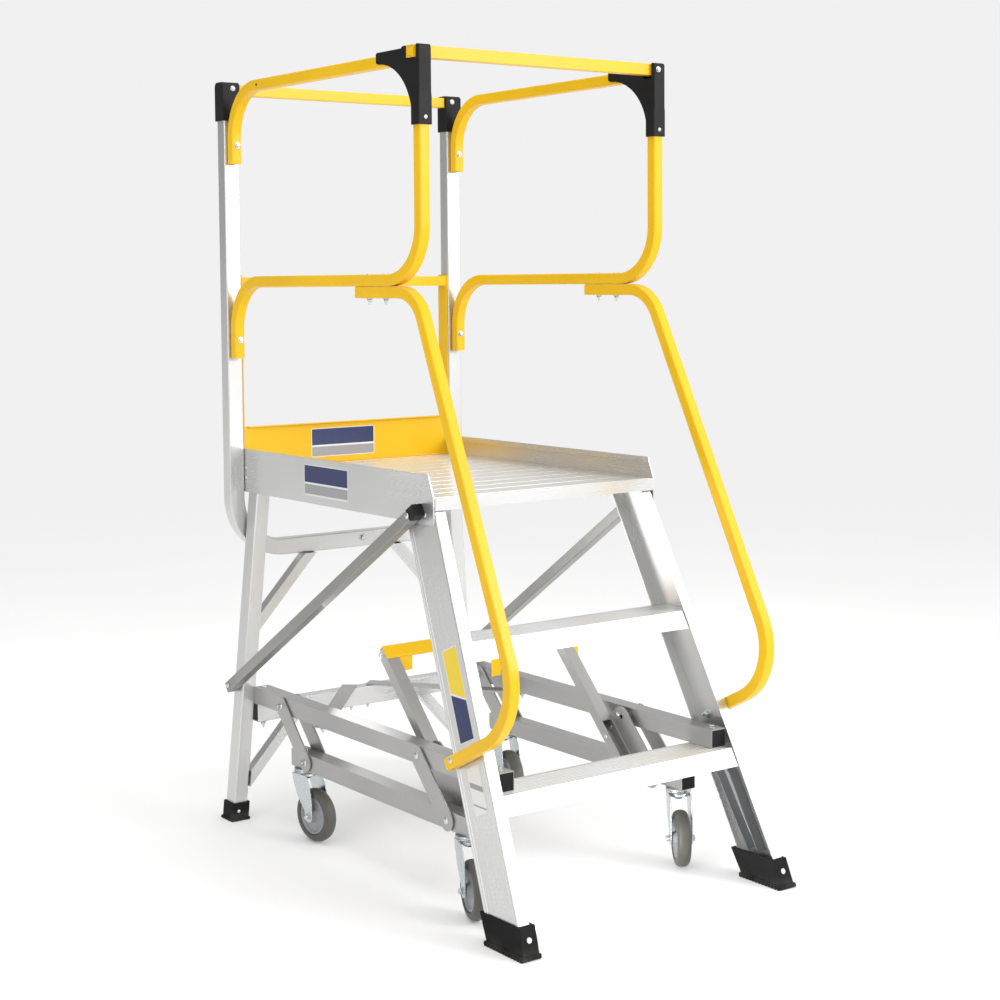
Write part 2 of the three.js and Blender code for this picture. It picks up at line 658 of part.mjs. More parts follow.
// ---------- platform ----------
function deck() {
  const top = [];
  const count = Math.floor((DECK_REAR_Y - DECK_FRONT_Y) / RIB_PITCH);
  for (let k = 0; k < count; k++) {
    const y = DECK_FRONT_Y + 4 + k * RIB_PITCH;
    const dip = k % 3 === 0 ? 2 * RIB_DEPTH : RIB_DEPTH;
    top.push([y, DECK_Z], [y + 1, DECK_Z - dip], [y + 3, DECK_Z - dip], [y + 4, DECK_Z]);
  }
  const under = [];
  for (let y = DECK_REAR_Y - PLANK_PITCH; y > DECK_FRONT_Y + 30; y -= PLANK_PITCH) {
    under.push([y + 2, DECK_Z - DECK_SKIN - 1], [y + 2, DECK_Z - 18], [y - 2, DECK_Z - 18],
      [y - 2, DECK_Z - DECK_SKIN - 1]);
  }
  const points = [
    [DECK_FRONT_Y, DECK_Z - 2], [DECK_FRONT_Y + 2, DECK_Z], ...top, [DECK_REAR_Y, DECK_Z],
    [DECK_REAR_Y, DECK_Z - DECK_DEPTH], [DECK_REAR_Y - 3, DECK_Z - DECK_DEPTH],
    [DECK_REAR_Y - 3, DECK_Z - DECK_SKIN - 1], ...under,
    [DECK_FRONT_Y + 3, DECK_Z - DECK_SKIN - 1], [DECK_FRONT_Y + 3, DECK_Z - DECK_DEPTH],
    [DECK_FRONT_Y, DECK_Z - DECK_DEPTH],
  ];
  add('platform_deck', prismX(points.reverse(), [-DECK_HALF_X, DECK_HALF_X]), ALUMINIUM);
}

function sidePanel() {
  const [low, high] = PANEL_Z;
  const outline = [[DECK_FRONT_Y + 3, low], [DECK_REAR_Y, low], [DECK_REAR_Y, high],
    [-760, high], [-764, high - 1], [DECK_FRONT_Y + 3, high - 48]];
  const sheet = prismX(outline, PANEL_X);
  const hem = box([PANEL_X[0] - 5, PANEL_X[0] + 1], [-755, 26], [high - 12, high - 1.5]);
  addPair('side_panel', toGeometry(joinAll([sheet, hem])), ALUMINIUM);
}

function toeBoard() {
  const face = box([-301.6, 301.6], [26.8, 29.7], [DECK_Z + GAP, DECK_Z + 101]);
  const foot = box([-296, 296], [12, 28], [DECK_Z + GAP, DECK_Z + 3]);
  const hem = box([-296, 296], [19, 28], [DECK_Z + 98, DECK_Z + 101]);
  add('toe_board', toGeometry(joinAll([face, foot, hem])), YELLOW);
}

// Box tube outside the frame, from the rear leg up to the platform's front.
function sideDiagonal() {
  const low = new THREE.Vector3(355.2, 27, 326);
  const high = new THREE.Vector3(318.2, -747, 835);
  const dir = high.clone().sub(low);
  const path = new StationPath([
    { point: low, tangent: dir.clone().normalize() },
    { point: high, tangent: dir.clone().normalize() },
  ]);
  addPair('side_diagonal', boxTube(path, [25, 25, 2], 1.5), ALUMINIUM);
}

// ---------- guard rails ----------
const RAIL_SECTION = [RAIL_SIDE, RAIL_SIDE, RAIL_WALL];

// The rails sit nearer the middle at the front than at the rear.
function railX(y) {
  return RAIL_X + RAIL_TOE_IN * (y - RAIL_REAR_Y);
}

function guardRails() {
  const at = (y, z) => [railX(y), y, z];
  const top = filletPath([
    at(RAIL_REAR_Y, 1596), at(RAIL_REAR_Y, TOP_RAIL_Z), at(-728, TOP_RAIL_Z),
  ], [RAIL_BEND], 8);
  addPair('top_rail', boxTube(top, RAIL_SECTION, 3), YELLOW);
  const mid = filletPath([
    at(POST_Y, 1740), at(POST_Y, MID_RAIL_Z), at(RAIL_REAR_Y, MID_RAIL_Z), at(RAIL_REAR_Y, 1130),
  ], [RAIL_BEND, RAIL_BEND], 8);
  addPair('mid_rail', boxTube(mid, RAIL_SECTION, 3), YELLOW);
}

function handrail() {
  const topZ = MID_RAIL_Z - RAIL_SIDE - GAP;
  const path = filletPath([
    [railX(-531), -531, topZ], [railX(-752), -752, topZ],
    [347, -1144.5, 458.7], [352.4, -903, 332],
  ], [95, 136], 8);
  addPair('handrail', boxTube(path, RAIL_SECTION, 3), YELLOW);
}

// Moulded corner that joins the top rail to the front post.
function railBracket(slotFloorZ) {
  const outline = [
    [-788, 1632.5], [-761, 1632.5], [-763, 1660], [-761, 1686], [-755, 1710], [-743, 1730],
    [-727, 1746], [-706, 1757], [-682, 1764], [-655, 1767], [-632, 1768], [-626, 1772],
    [-626, 1788], [-630, 1792], [-722, 1792], [-726, 1796], [-783, 1796], [-788, 1792],
  ];
  const x = [RAIL_X - BRACKET_HALF_WIDTH, RAIL_X + BRACKET_HALF_WIDTH];
  const half = RAIL_SIDE / 2 + GAP;
  const bore = [RAIL_X - half, RAIL_X + half];
  const topPocket = box(bore, [-728.5, -600], [TOP_RAIL_Z - half, TOP_RAIL_Z + half]);
  const postPocket = box(bore, [POST_Y - half, POST_Y + half], [1600, 1740.4]);
  const slot = box(inset(x, -8), inset(BAR_Y, -0.6), [slotFloorZ, 1800]);
  const body = toGeometry(cutAll(solid(prismX(outline, x)), [topPocket, postPocket, slot]));
  const toeIn = new THREE.Matrix4().makeShear(0, 0, RAIL_TOE_IN, 0, 0, 0);
  body.applyMatrix4(toeIn);
  body.translate(-RAIL_TOE_IN * RAIL_REAR_Y, 0, 0);
  return body;
}

function railBrackets() {
  const pinHoleY = cylinderAlong('y', 4.08, 60, [BAR_PIVOT[0], -770, BAR_PIVOT[1]], 20);
  const right = cutAll(solid(railBracket(BAR_Z[0] - 7)), [pinHoleY]);
  add('rail_bracket_right', toGeometry(right), BLACK_PLASTIC);
  add('rail_bracket_left', mirrored(railBracket(BAR_Z[0] - GAP)), BLACK_PLASTIC);
}

// Drop-in bar across the platform's entry, on a pin in the right bracket.
function safetyBar() {
  const bar = solid(box([-340, BAR_PIVOT[0] + 12], BAR_Y, BAR_Z));
  const wall = 2.5;
  const bore = box([-350, BAR_PIVOT[0] + 20], inset(BAR_Y, wall), inset(BAR_Z, wall));
  const pin = cylinderAlong('y', 4, 46, [BAR_PIVOT[0], -765, BAR_PIVOT[1]], 16);
  add('safety_bar', toGeometry(cutAll(bar, [bore]).add(solid(pin))), YELLOW);
}

function uprightCap() {
  const outer = [[25.6, 1700], [66.5, 1700], [66.5, 1784], [60, 1792], [32, 1792], [25.6, 1786]];
  const body = prismX(outer, [303, 349.5]);
  const pocket = box([HOOP_HALF_X - 20.4, HOOP_HALF_X + 20.4], [HOOP_Y - 17.9, HOOP_Y + 17.9], [1690, HOOP_TOP_Z + GAP]);
  addPair('upright_cap', toGeometry(cutAll(solid(body), [pocket])), BLACK_PLASTIC);
}

function rearBars() {
  const y = [33, 58];
  const topZ = [1762, 1787];
  const midZ = [1300, 1325];
  const bar = solid(box([-302.6, 302.6], y, topZ));
  const bore = (z) => box([-310, 310], inset(y, 2), inset(z, 2));
  add('rear_top_bar', toGeometry(cutAll(bar, [bore(topZ)])), YELLOW);
  const strips = [-1, 1].map((side) => {
    const strip = box([-1.7, 1.7], [30, 70], [PANEL_Z[1] + GAP, midZ[1] + 4]);
    strip.translate(side * 303.9, 0, 0);
    return strip;
  });
  const mid = joinAll([box([-303, 303], y, midZ), ...strips]);
  add('rear_mid_rail', toGeometry(cutAll(mid, [bore(midZ)])), YELLOW);
}

rearHoop();
rearLeg();
rearBoot();
lowerCrossbar();
kneeBrace('upper_knee_brace', [130, 638], [294, 462], [14, 42], HOOP_BOTTOM_Z - HOOP_SECTION[1] / 2);
kneeBrace('lower_knee_brace', [191, 241], [334, 88], [-8, 18], CROSSBAR_Z[0]);
cornerBrace();
upperTube();
lowerTube();
rearLink();
frontLink();
leverArm();
liftBar();
castors();
frontStile();
frontBoot();
stileStiffener();
tread('tread_lower', STEP_RISE);
tread('tread_upper', 2 * STEP_RISE);
deck();
sidePanel();
toeBoard();
sideDiagonal();
guardRails();
handrail();
railBrackets();
safetyBar();
uprightCap();
rearBars();

export default ladder;
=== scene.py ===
"""Looks for the mobile platform ladder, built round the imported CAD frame.

Lengths in the build code are drawing millimetres with y = 0 at the rear ends of
the guard rails; at() turns them into metres in the row frame.
"""

import math

import bmesh
import bpy
from mathutils import Matrix, Vector


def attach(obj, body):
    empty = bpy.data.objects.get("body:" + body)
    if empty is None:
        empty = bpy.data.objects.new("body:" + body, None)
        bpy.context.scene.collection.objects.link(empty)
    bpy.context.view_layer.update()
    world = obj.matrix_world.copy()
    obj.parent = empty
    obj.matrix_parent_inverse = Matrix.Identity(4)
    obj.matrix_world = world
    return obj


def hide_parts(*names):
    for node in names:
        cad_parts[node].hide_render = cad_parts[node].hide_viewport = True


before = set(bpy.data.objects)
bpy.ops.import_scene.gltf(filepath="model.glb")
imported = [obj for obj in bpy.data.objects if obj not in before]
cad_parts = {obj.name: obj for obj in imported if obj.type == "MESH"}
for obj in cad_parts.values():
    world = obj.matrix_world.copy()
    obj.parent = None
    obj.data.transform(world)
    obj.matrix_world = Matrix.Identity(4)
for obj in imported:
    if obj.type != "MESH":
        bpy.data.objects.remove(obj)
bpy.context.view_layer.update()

MM = 0.001
DATUM_Y = 549.0

# ---------- dimensions shared with the CAD frame, in drawing mm ----------
RAIL_X = 326.6
RAIL_TOE_IN = 0.0105
RAIL_REAR_Y = 13.7
RAIL_BEND = 116.0
RAIL_SIDE = 25.4
TOP_RAIL_Z = 1772.5
MID_RAIL_Z = 1314.5
POST_Y = -771.7
LINK_PIVOT_Z = 306.0
LOWER_TUBE_Z = 191.5
REAR_PIVOT_Y = -147.6
FRONT_PIVOT_Y = -724.3
LINK_DY = -109.0
LINK_DZ = LOWER_TUBE_Z - LINK_PIVOT_Z
LINK_OUTER_X = 315.4
LINK_THICK = 4.0
UPPER_TUBE_X = 290.5
UPPER_TUBE_Z = 307.3
CASTOR_TRAIL = 36.0
WHEEL_AXLE_Z = 63.7
FORK_CROWN_TOP = 159.2
CASTORS = {
    "front_left": (-1, -880.0, 19),
    "front_right": (1, -880.0, 33),
    "rear_left": (-1, -222.0, -7),
    "rear_right": (1, -222.0, 13),
}
BAR_MID = (-763.5, 1781.8)
BAR_HALF = 12.5
STILE_SPLAY = 0.078
STILE_LEAN = 0.467
STILE_DATUM_Z = 803.0
SIDES = (("right", 1), ("left", -1))
UP, DOWN, FRONT = (0, 0, 1), (0, 0, -1), (0, -1, 0)


def at(x, y, z):
    return Vector((x, y + DATUM_Y, z)) * MM


# Local x runs along +Y, local y along +Z and local z along +X.
SIDE_TURN = Matrix(((0, 0, 1), (1, 0, 0), (0, 1, 0))).to_4x4()
SIDE_PLANE = Matrix.Translation(at(0, 0, 0)) @ SIDE_TURN


def rail_x(y):
    """Middle of a guard rail, which toes in towards the front."""
    return RAIL_X + RAIL_TOE_IN * (y - RAIL_REAR_Y)


def placed(name, data):
    """New object in the scene's collection."""
    obj = bpy.data.objects.new(name, data)
    bpy.context.scene.collection.objects.link(obj)
    return obj


# ---------- material graph helper ----------
class Graph:
    """Adds nodes to one material; every texture reads object coordinates in metres."""

    def __init__(self, name):
        self.material = bpy.data.materials.new(name)
        self.material.use_nodes = True
        self.tree = self.material.node_tree
        self.bsdf = self.tree.nodes["Principled BSDF"]
        self.coords = self.tree.nodes.new("ShaderNodeTexCoord").outputs["Object"]

    def add(self, kind, **props):
        node = self.tree.nodes.new(kind)
        for key, value in props.items():
            setattr(node, key, value)
        return node

    def link(self, source, target):
        self.tree.links.new(source, target)

    def streaks(self, direction, fine=420.0, long=2.5):
        """Noise drawn out along one direction."""
        turn = Vector((0, 0, 1)).rotation_difference(Vector(direction).normalized())
        mapping = self.add("ShaderNodeMapping", vector_type="TEXTURE")
        mapping.inputs["Rotation"].default_value = turn.to_euler()
        mapping.inputs["Scale"].default_value = (1 / fine, 1 / fine, 1 / long)
        self.link(self.coords, mapping.inputs["Vector"])
        node = self.add("ShaderNodeTexNoise")
        self.link(mapping.outputs["Vector"], node.inputs["Vector"])
        node.inputs["Scale"].default_value = 1.0
        node.inputs["Detail"].default_value = 4.0
        return node.outputs["Fac"]

    def noise(self, scale, detail=3.0, distortion=0.0):
        node = self.add("ShaderNodeTexNoise")
        self.link(self.coords, node.inputs["Vector"])
        node.inputs["Scale"].default_value = scale
        node.inputs["Detail"].default_value = detail
        node.inputs["Distortion"].default_value = distortion
        return node.outputs["Fac"]

    def remap(self, value, from_range, to_range=(0, 1)):
        node = self.add("ShaderNodeMapRange")
        self.link(value, node.inputs["Value"])
        for end, values in (("From", from_range), ("To", to_range)):
            node.inputs[f"{end} Min"].default_value = values[0]
            node.inputs[f"{end} Max"].default_value = values[1]
        return node.outputs["Result"]

    def fill(self, sockets, values):
        """Each value is a number, a colour or another node's output."""
        for socket, value in zip(sockets, values):
            if isinstance(value, (int, float)):
                socket.default_value = value
            elif isinstance(value, tuple):
                socket.default_value = (*value, 1.0)
            else:
                self.link(value, socket)

    def mix(self, factor, first, second):
        node = self.add("ShaderNodeMix", data_type="RGBA")
        self.fill([node.inputs[i] for i in (0, 6, 7)], (factor, first, second))
        return node.outputs[2]

    def math(self, operation, first, second):
        node = self.add("ShaderNodeMath", operation=operation)
        self.fill(node.inputs, (first, second))
        return node.outputs["Value"]

    def rounded_normal(self, radius):
        bevel = self.add("ShaderNodeBevel", samples=4)
        bevel.inputs["Radius"].default_value = radius
        return bevel.outputs["Normal"]

    def edge_mask(self, radius, gain):
        """Near 1 along sharp edges and 0 on flats."""
        geometry = self.add("ShaderNodeNewGeometry")
        dot = self.add("ShaderNodeVectorMath", operation="DOT_PRODUCT")
        self.link(self.rounded_normal(radius), dot.inputs[0])
        self.link(geometry.outputs["Normal"], dot.inputs[1])
        turned = self.math("SUBTRACT", 1.0, dot.outputs["Value"])
        raised = self.math("MULTIPLY", turned, gain)
        return self.math("MINIMUM", raised, 1.0)

    def bump(self, height, strength, distance, bevel_radius=0.0):
        node = self.add("ShaderNodeBump")
        node.inputs["Strength"].default_value = strength
        node.inputs["Distance"].default_value = distance
        self.link(height, node.inputs["Height"])
        if bevel_radius > 0:
            self.link(self.rounded_normal(bevel_radius), node.inputs["Normal"])
        self.link(node.outputs["Normal"], self.bsdf.inputs["Normal"])

    def color(self, value):
        self.link(value, self.bsdf.inputs["Base Color"])

    def roughness(self, value):
        self.link(value, self.bsdf.inputs["Roughness"])

    def set(self, **values):
        for key, value in values.items():
            self.bsdf.inputs[key.replace("_", " ")].default_value = value


def tinted(tone, factor):
    return tuple(min(1.0, channel * factor) for channel in tone)


def aluminium(name, tone, run, rough, smudge=0.04, edge=0.0008, rubbed=0.0012):
    """Extruded metal: die lines along the run, handling smudges, brighter rubbed edges."""
    graph = Graph(name)
    lines = graph.streaks(run)
    broad = graph.streaks(run, 90.0, 1.2)
    blotch = graph.noise(3.0, 2.0)
    smudged = graph.remap(blotch, (0.3, 0.72))
    body = graph.mix(smudged, tinted(tone, 1 - smudge), tinted(tone, 1.04))
    lined = graph.mix(graph.remap(lines, (0.3, 0.7), (0, 0.2)), body, tinted(tone, 0.88))
    banded = graph.mix(graph.remap(broad, (0.35, 0.7), (0, 0.18)), lined, tinted(tone, 0.90))
    graph.color(graph.mix(graph.edge_mask(rubbed, 2.4), banded, tinted(tone, 1.2)))
    base = graph.remap(blotch, (0.25, 0.75), (rough[1], rough[0]))
    graph.roughness(graph.math("ADD", base, graph.remap(lines, (0.3, 0.7), (-0.02, 0.02))))
    graph.bump(lines, 0.012, 0.00008, edge)
    graph.set(Metallic=0.78)
    return graph.material


def powder_coat(name, tone):
    """Semi-gloss powder coat with orange peel, fading and rubbed edges."""
    graph = Graph(name)
    blotch = graph.noise(5.0, 4.0)
    peel = graph.noise(620.0, 2.0)
    speck = graph.noise(140.0, 3.0)
    body = graph.mix(graph.remap(blotch, (0.3, 0.7)), tinted(tone, 0.93), tinted(tone, 1.03))
    dusty = graph.mix(graph.remap(speck, (0.62, 0.8), (0, 0.12)), body, (0.62, 0.46, 0.10))
    rubbed = graph.mix(graph.edge_mask(0.0016, 1.2), dusty, (0.95, 0.70, 0.06))
    graph.color(rubbed)
    graph.roughness(graph.remap(blotch, (0.25, 0.75), (0.30, 0.44)))
    graph.bump(peel, 0.10, 0.00025, 0.0012)
    graph.set(Coat_Weight=0.08, Coat_Roughness=0.16, Specular_IOR_Level=0.3)
    return graph.material


def moulded_plastic(name, tone, rough, grain=0.22):
    """Spark-eroded plastic: fine grain, paler scuffs on edges."""
    graph = Graph(name)
    pits = graph.noise(1500.0, 3.0)
    cloud = graph.noise(11.0, 4.0)
    body = graph.mix(graph.remap(cloud, (0.3, 0.7)), tone, tinted(tone, 1.5))
    graph.color(graph.mix(graph.edge_mask(0.0014, 0.9), body, tinted(tone, 2.6)))
    graph.roughness(graph.remap(cloud, (0.3, 0.7), (rough - 0.06, rough + 0.08)))
    graph.bump(pits, grain, 0.0003, 0.0012)
    graph.set(Specular_IOR_Level=0.20)
    return graph.material


def rubber(name, tone):
    """Matt moulded rubber with dust lying low and a mottled skin."""
    graph = Graph(name)
    cloud = graph.noise(26.0, 5.0)
    pits = graph.noise(900.0, 2.0)
    height = graph.add("ShaderNodeSeparateXYZ")
    graph.link(graph.coords, height.inputs["Vector"])
    low = graph.remap(height.outputs["Z"], (0.0, 0.03), (0.30, 0.0))
    dust = graph.math("MULTIPLY", low, graph.remap(cloud, (0.4, 0.7)))
    body = graph.mix(graph.remap(cloud, (0.3, 0.7)), tone, tinted(tone, 1.6))
    graph.color(graph.mix(dust, body, (0.16, 0.15, 0.13)))
    graph.roughness(graph.remap(cloud, (0.3, 0.7), (0.62, 0.82)))
    graph.bump(pits, 0.25, 0.0004, 0.001)
    graph.set(Specular_IOR_Level=0.20)
    return graph.material


def zinc_plate(name, tone):
    """Bright zinc with faint spangle and a passivation tint that drifts."""
    graph = Graph(name)
    drift = graph.noise(11.0, 2.0, distortion=0.8)
    spangle = graph.noise(240.0, 3.0)
    body = graph.mix(graph.remap(drift, (0.35, 0.65)), tone, (0.55, 0.60, 0.62))
    warm = graph.mix(graph.remap(drift, (0.58, 0.75), (0, 0.35)), body, (0.66, 0.62, 0.48))
    graph.color(graph.mix(graph.edge_mask(0.0012, 2.0), warm, (0.85, 0.87, 0.88)))
    graph.roughness(graph.remap(spangle, (0.3, 0.7), (0.24, 0.33)))
    graph.bump(spangle, 0.03, 0.0001, 0.0006)
    graph.set(Metallic=1.0)
    return graph.material


def tyre_rubber(name, tone):
    """Grey non-marking tread with paler scuffs and a mottled tone."""
    graph = Graph(name)
    cloud = graph.noise(60.0, 4.0)
    pits = graph.noise(700.0, 2.0)
    body = graph.mix(graph.remap(cloud, (0.3, 0.7)), tone, tinted(tone, 1.35))
    graph.color(graph.mix(graph.remap(pits, (0.6, 0.8), (0, 0.4)), body, (0.30, 0.29, 0.26)))
    graph.roughness(graph.remap(cloud, (0.3, 0.7), (0.42, 0.6)))
    graph.bump(pits, 0.18, 0.0003, 0.001)
    graph.set(Coat_Weight=0.12, Coat_Roughness=0.3)
    return graph.material


def hub_plastic(name, tone):
    """Light grey moulded core with flow marks."""
    graph = Graph(name)
    flow = graph.noise(35.0, 3.0, distortion=2.0)
    grain = graph.noise(1100.0, 2.0)
    swirl = graph.remap(flow, (0.35, 0.65))
    graph.color(graph.mix(swirl, tinted(tone, 0.88), tinted(tone, 1.06)))
    graph.roughness(graph.remap(flow, (0.3, 0.7), (0.34, 0.5)))
    graph.bump(grain, 0.10, 0.0002, 0.001)
    return graph.material


def label_film(name, bands, low, high):
    """Plain printed film: colour bands from low to high in metres of z, no lettering."""
    graph = Graph(name)
    split = graph.add("ShaderNodeSeparateXYZ")
    graph.link(graph.coords, split.inputs["Vector"])
    height = graph.remap(split.outputs["Z"], (low, high))
    ramp = graph.add("ShaderNodeValToRGB")
    ramp.color_ramp.interpolation = "CONSTANT"
    elements = ramp.color_ramp.elements
    for element, (position, tone) in zip(elements, bands[:2]):
        element.position = position
        element.color = (*tone, 1)
    for position, tone in bands[2:]:
        elements.new(position).color = (*tone, 1)
    graph.link(height, ramp.inputs["Fac"])
    worn = graph.noise(70.0, 4.0)
    faded = graph.remap(worn, (0.6, 0.85), (0, 0.02))
    graph.color(graph.mix(faded, ramp.outputs["Color"], (0.6, 0.6, 0.6)))
    graph.roughness(graph.remap(worn, (0.3, 0.7), (0.33, 0.36)))
    graph.bump(worn, 0.02, 0.0001)
    return graph.material


SATIN = (0.66, 0.66, 0.655)
MILL = (0.43, 0.425, 0.415)
RUNS = {
    "x": (1, 0, 0), "y": (0, 1, 0), "z": (0, 0, 1), "lever": (0, 0.69, 0.724),
    "stile_right": (-STILE_SPLAY, STILE_LEAN, 1), "stile_left": (STILE_SPLAY, STILE_LEAN, 1),
    "leg_right": (-0.06, 0, 1), "leg_left": (0.06, 0, 1),
    "diagonal_right": (-37, -774, 509), "diagonal_left": (37, -774, 509),
    "brace_right": (0.9, 0, 1), "brace_left": (-0.9, 0, 1),
}


def satin(run):
    return aluminium(f"satin_aluminium_{run}", SATIN, RUNS[run], (0.24, 0.34))


def mill(run):
    return aluminium(f"mill_aluminium_{run}", MILL, RUNS[run], (0.28, 0.40), 0.08)


def dull(side):
    run = RUNS[f"diagonal_{side}"]
    return aluminium(f"dull_aluminium_{side}", (0.36, 0.355, 0.34), run, (0.3, 0.44), 0.2)


ALU = {run: satin(run) for run in RUNS if not run.startswith(("diagonal", "lever"))}
MILLED = {run: mill(run) for run in ("y", "lever")}
DULL = {side: dull(side) for side, _ in SIDES}
# Stile stiffener copies of the aluminium: a dark one as painted shade on the flanges, a pale one as a
# painted reflection on the web.
PAINTED_SHADE_FLANGE = aluminium(
    "painted_shade_flange_aluminium", (0.17, 0.175, 0.18), RUNS["stile_right"], (0.34, 0.46))
PAINTED_REFLECTION_WEB = aluminium(
    "painted_reflection_web_aluminium", (0.86, 0.88, 0.88), RUNS["stile_right"], (0.30, 0.42))
RIBBED = aluminium(
    "ribbed_aluminium", (0.76, 0.76, 0.755), RUNS["x"], (0.24, 0.34), 0.03, 0.0001, 0.0004)
YELLOW = powder_coat("yellow_powder_coat", (0.84, 0.50, 0.003))
BLACK = moulded_plastic("black_moulded_plastic", (0.007, 0.007, 0.008), 0.48)
BLACK_CAP = moulded_plastic("black_end_plug", (0.007, 0.007, 0.008), 0.52, 0.15)
RUBBER = rubber("black_foot_rubber", (0.005, 0.005, 0.005))
WHITE = moulded_plastic("white_screw_cover", (0.62, 0.62, 0.61), 0.4, 0.1)
ZINC = zinc_plate("zinc_plated_steel", (0.60, 0.62, 0.63))
BOLT = zinc_plate("bright_zinc_fastener", (0.78, 0.79, 0.79))
TYRE = tyre_rubber("grey_tyre_rubber", (0.072, 0.069, 0.060))
HUB = hub_plastic("light_grey_core", (0.30, 0.315, 0.335))


# ---------- mesh helpers ----------
def placed_mesh(name, bm):
    mesh = bpy.data.meshes.new(name)
    bm.to_mesh(mesh)
    bm.free()
    return placed(name, mesh)


def weighted(obj):
    modifier = obj.modifiers.new("weighted_normals", "WEIGHTED_NORMAL")
    modifier.keep_sharp = True


def smoothed(mesh):
    for polygon in mesh.polygons:
        polygon.use_smooth = True


def bevelled(obj, width, segments=2, angle=32):
    modifier = obj.modifiers.new("bevel", "BEVEL")
    modifier.width = width * MM
    modifier.segments = segments
    modifier.limit_method = "ANGLE"
    modifier.angle_limit = math.radians(angle)
    modifier.use_clamp_overlap = True


def keep_cad(name, material, width):
    """Shows a CAD node with merged facets, softened edges and a procedural material."""
    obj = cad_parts[name]
    obj.data.materials.clear()
    obj.data.materials.append(material)
    smoothed(obj.data)
    weld = obj.modifiers.new("weld", "WELD")
    weld.merge_threshold = 2e-5
    merge = obj.modifiers.new("merge_flats", "DECIMATE")
    merge.decimate_type = "DISSOLVE"
    merge.angle_limit = math.radians(0.6)
    bevelled(obj, width)
    weighted(obj)


def make(name, bm, material, body, replaces=(), bevel=0.0, smooth=True):
    bmesh.ops.recalc_face_normals(bm, faces=bm.faces)
    obj = placed_mesh(name, bm)
    mesh = obj.data
    mesh.materials.append(material)
    if smooth:
        smoothed(mesh)
    if bevel > 0:
        bevelled(obj, bevel)
    if smooth:
        weighted(obj)
    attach(obj, body)
    if replaces:
        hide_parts(*replaces)
    return obj


def bridge(bm, rings, closed_path=False):
    """Quads between successive rings of equal length."""
    count = len(rings[0])
    last = len(rings) if closed_path else len(rings) - 1
    for i in range(last):
        lower, upper = rings[i], rings[(i + 1) % len(rings)]
        for k in range(count):
            n = (k + 1) % count
            bm.faces.new((lower[k], lower[n], upper[n], upper[k]))


def capped(bm, rings):
    """Bridged rings with a face over each end."""
    bridge(bm, rings)
    bm.faces.new(rings[0])
    bm.faces.new(rings[-1])


def ring_of(bm, points):
    return [bm.verts.new(point) for point in points]


def level_ring(bm, matrix, outline, height):
    """Ring of local (x, y) mm pairs at one local height."""
    return ring_of(bm, [matrix @ (Vector((x, y, height)) * MM) for x, y in outline])


def circle(radius, count):
    turns = [2 * math.pi * k / count for k in range(count)]
    return [(radius * math.cos(a), radius * math.sin(a)) for a in turns]


def lathe(bm, profile, matrix, segments=48):
    """Closed profile of (radius, height) pairs in mm, turned about local z."""
    rings = []
    for x, y in circle(1.0, segments):
        rings.append(ring_of(bm, [matrix @ (Vector((r * x, r * y, h)) * MM) for r, h in profile]))
    bridge(bm, rings, closed_path=True)


def turned_solid(bm, profile, matrix, segments=48):
    """Profile that starts and ends on the axis, as (radius, height) pairs in mm."""
    first = bm.verts.new(matrix @ (Vector((0, 0, profile[0][1])) * MM))
    last = bm.verts.new(matrix @ (Vector((0, 0, profile[-1][1])) * MM))
    rings = [level_ring(bm, matrix, circle(r, segments), h) for r, h in profile[1:-1]]
    bridge(bm, rings)
    for k in range(segments):
        n = (k + 1) % segments
        bm.faces.new((first, rings[0][n], rings[0][k]))
        bm.faces.new((last, rings[-1][k], rings[-1][n]))


def prism(bm, outline, matrix, low, high):
    """Outline of local (x, y) mm pairs, raised from low to high along local z."""
    capped(bm, [level_ring(bm, matrix, outline, height) for height in (low, high)])


def facing(point, direction):
    """Matrix whose local z points along direction at a row-frame point."""
    z = Vector(direction).normalized()
    hint = Vector((0, 0, 1))
    if abs(z.dot(hint)) > 0.98:
        hint = Vector((0, 1, 0))
    x = hint.cross(z).normalized()
    y = z.cross(x)
    rotation = Matrix((x, y, z)).transposed().to_4x4()
    return Matrix.Translation(point) @ rotation


def rounded_square(half_x, half_y, radius, steps=4):
    points = []
    corners = ((1, 1, 0), (-1, 1, 90), (-1, -1, 180), (1, -1, 270))
    for sx, sy, start in corners:
        cx, cy = sx * (half_x - radius), sy * (half_y - radius)
        for k in range(steps + 1):
            a = math.radians(start + 90 * k / steps)
            points.append((cx + radius * math.cos(a), cy + radius * math.sin(a)))
    return points


def fillet_path(corners, radii, steps=26):
    """Points and tangents along straight runs joined by arcs, in mm."""
    points = [Vector(corner) for corner in corners]
    stations = [(points[0], (points[1] - points[0]).normalized())]
    for i in range(1, len(points) - 1):
        into = (points[i] - points[i - 1]).normalized()
        out = (points[i + 1] - points[i]).normalized()
        angle = into.angle(out)
        radius = radii[i - 1]
        start = points[i] - into * radius * math.tan(angle / 2)
        side = (out - into * into.dot(out)).normalized()
        centre = start + side * radius
        for k in range(steps + 1):
            a = angle * k / steps
            point = centre - side * radius * math.cos(a) + into * radius * math.sin(a)
            stations.append((point, into * math.cos(a) + side * math.sin(a)))
    stations.append((points[-1], (points[-1] - points[-2]).normalized()))
    return stations


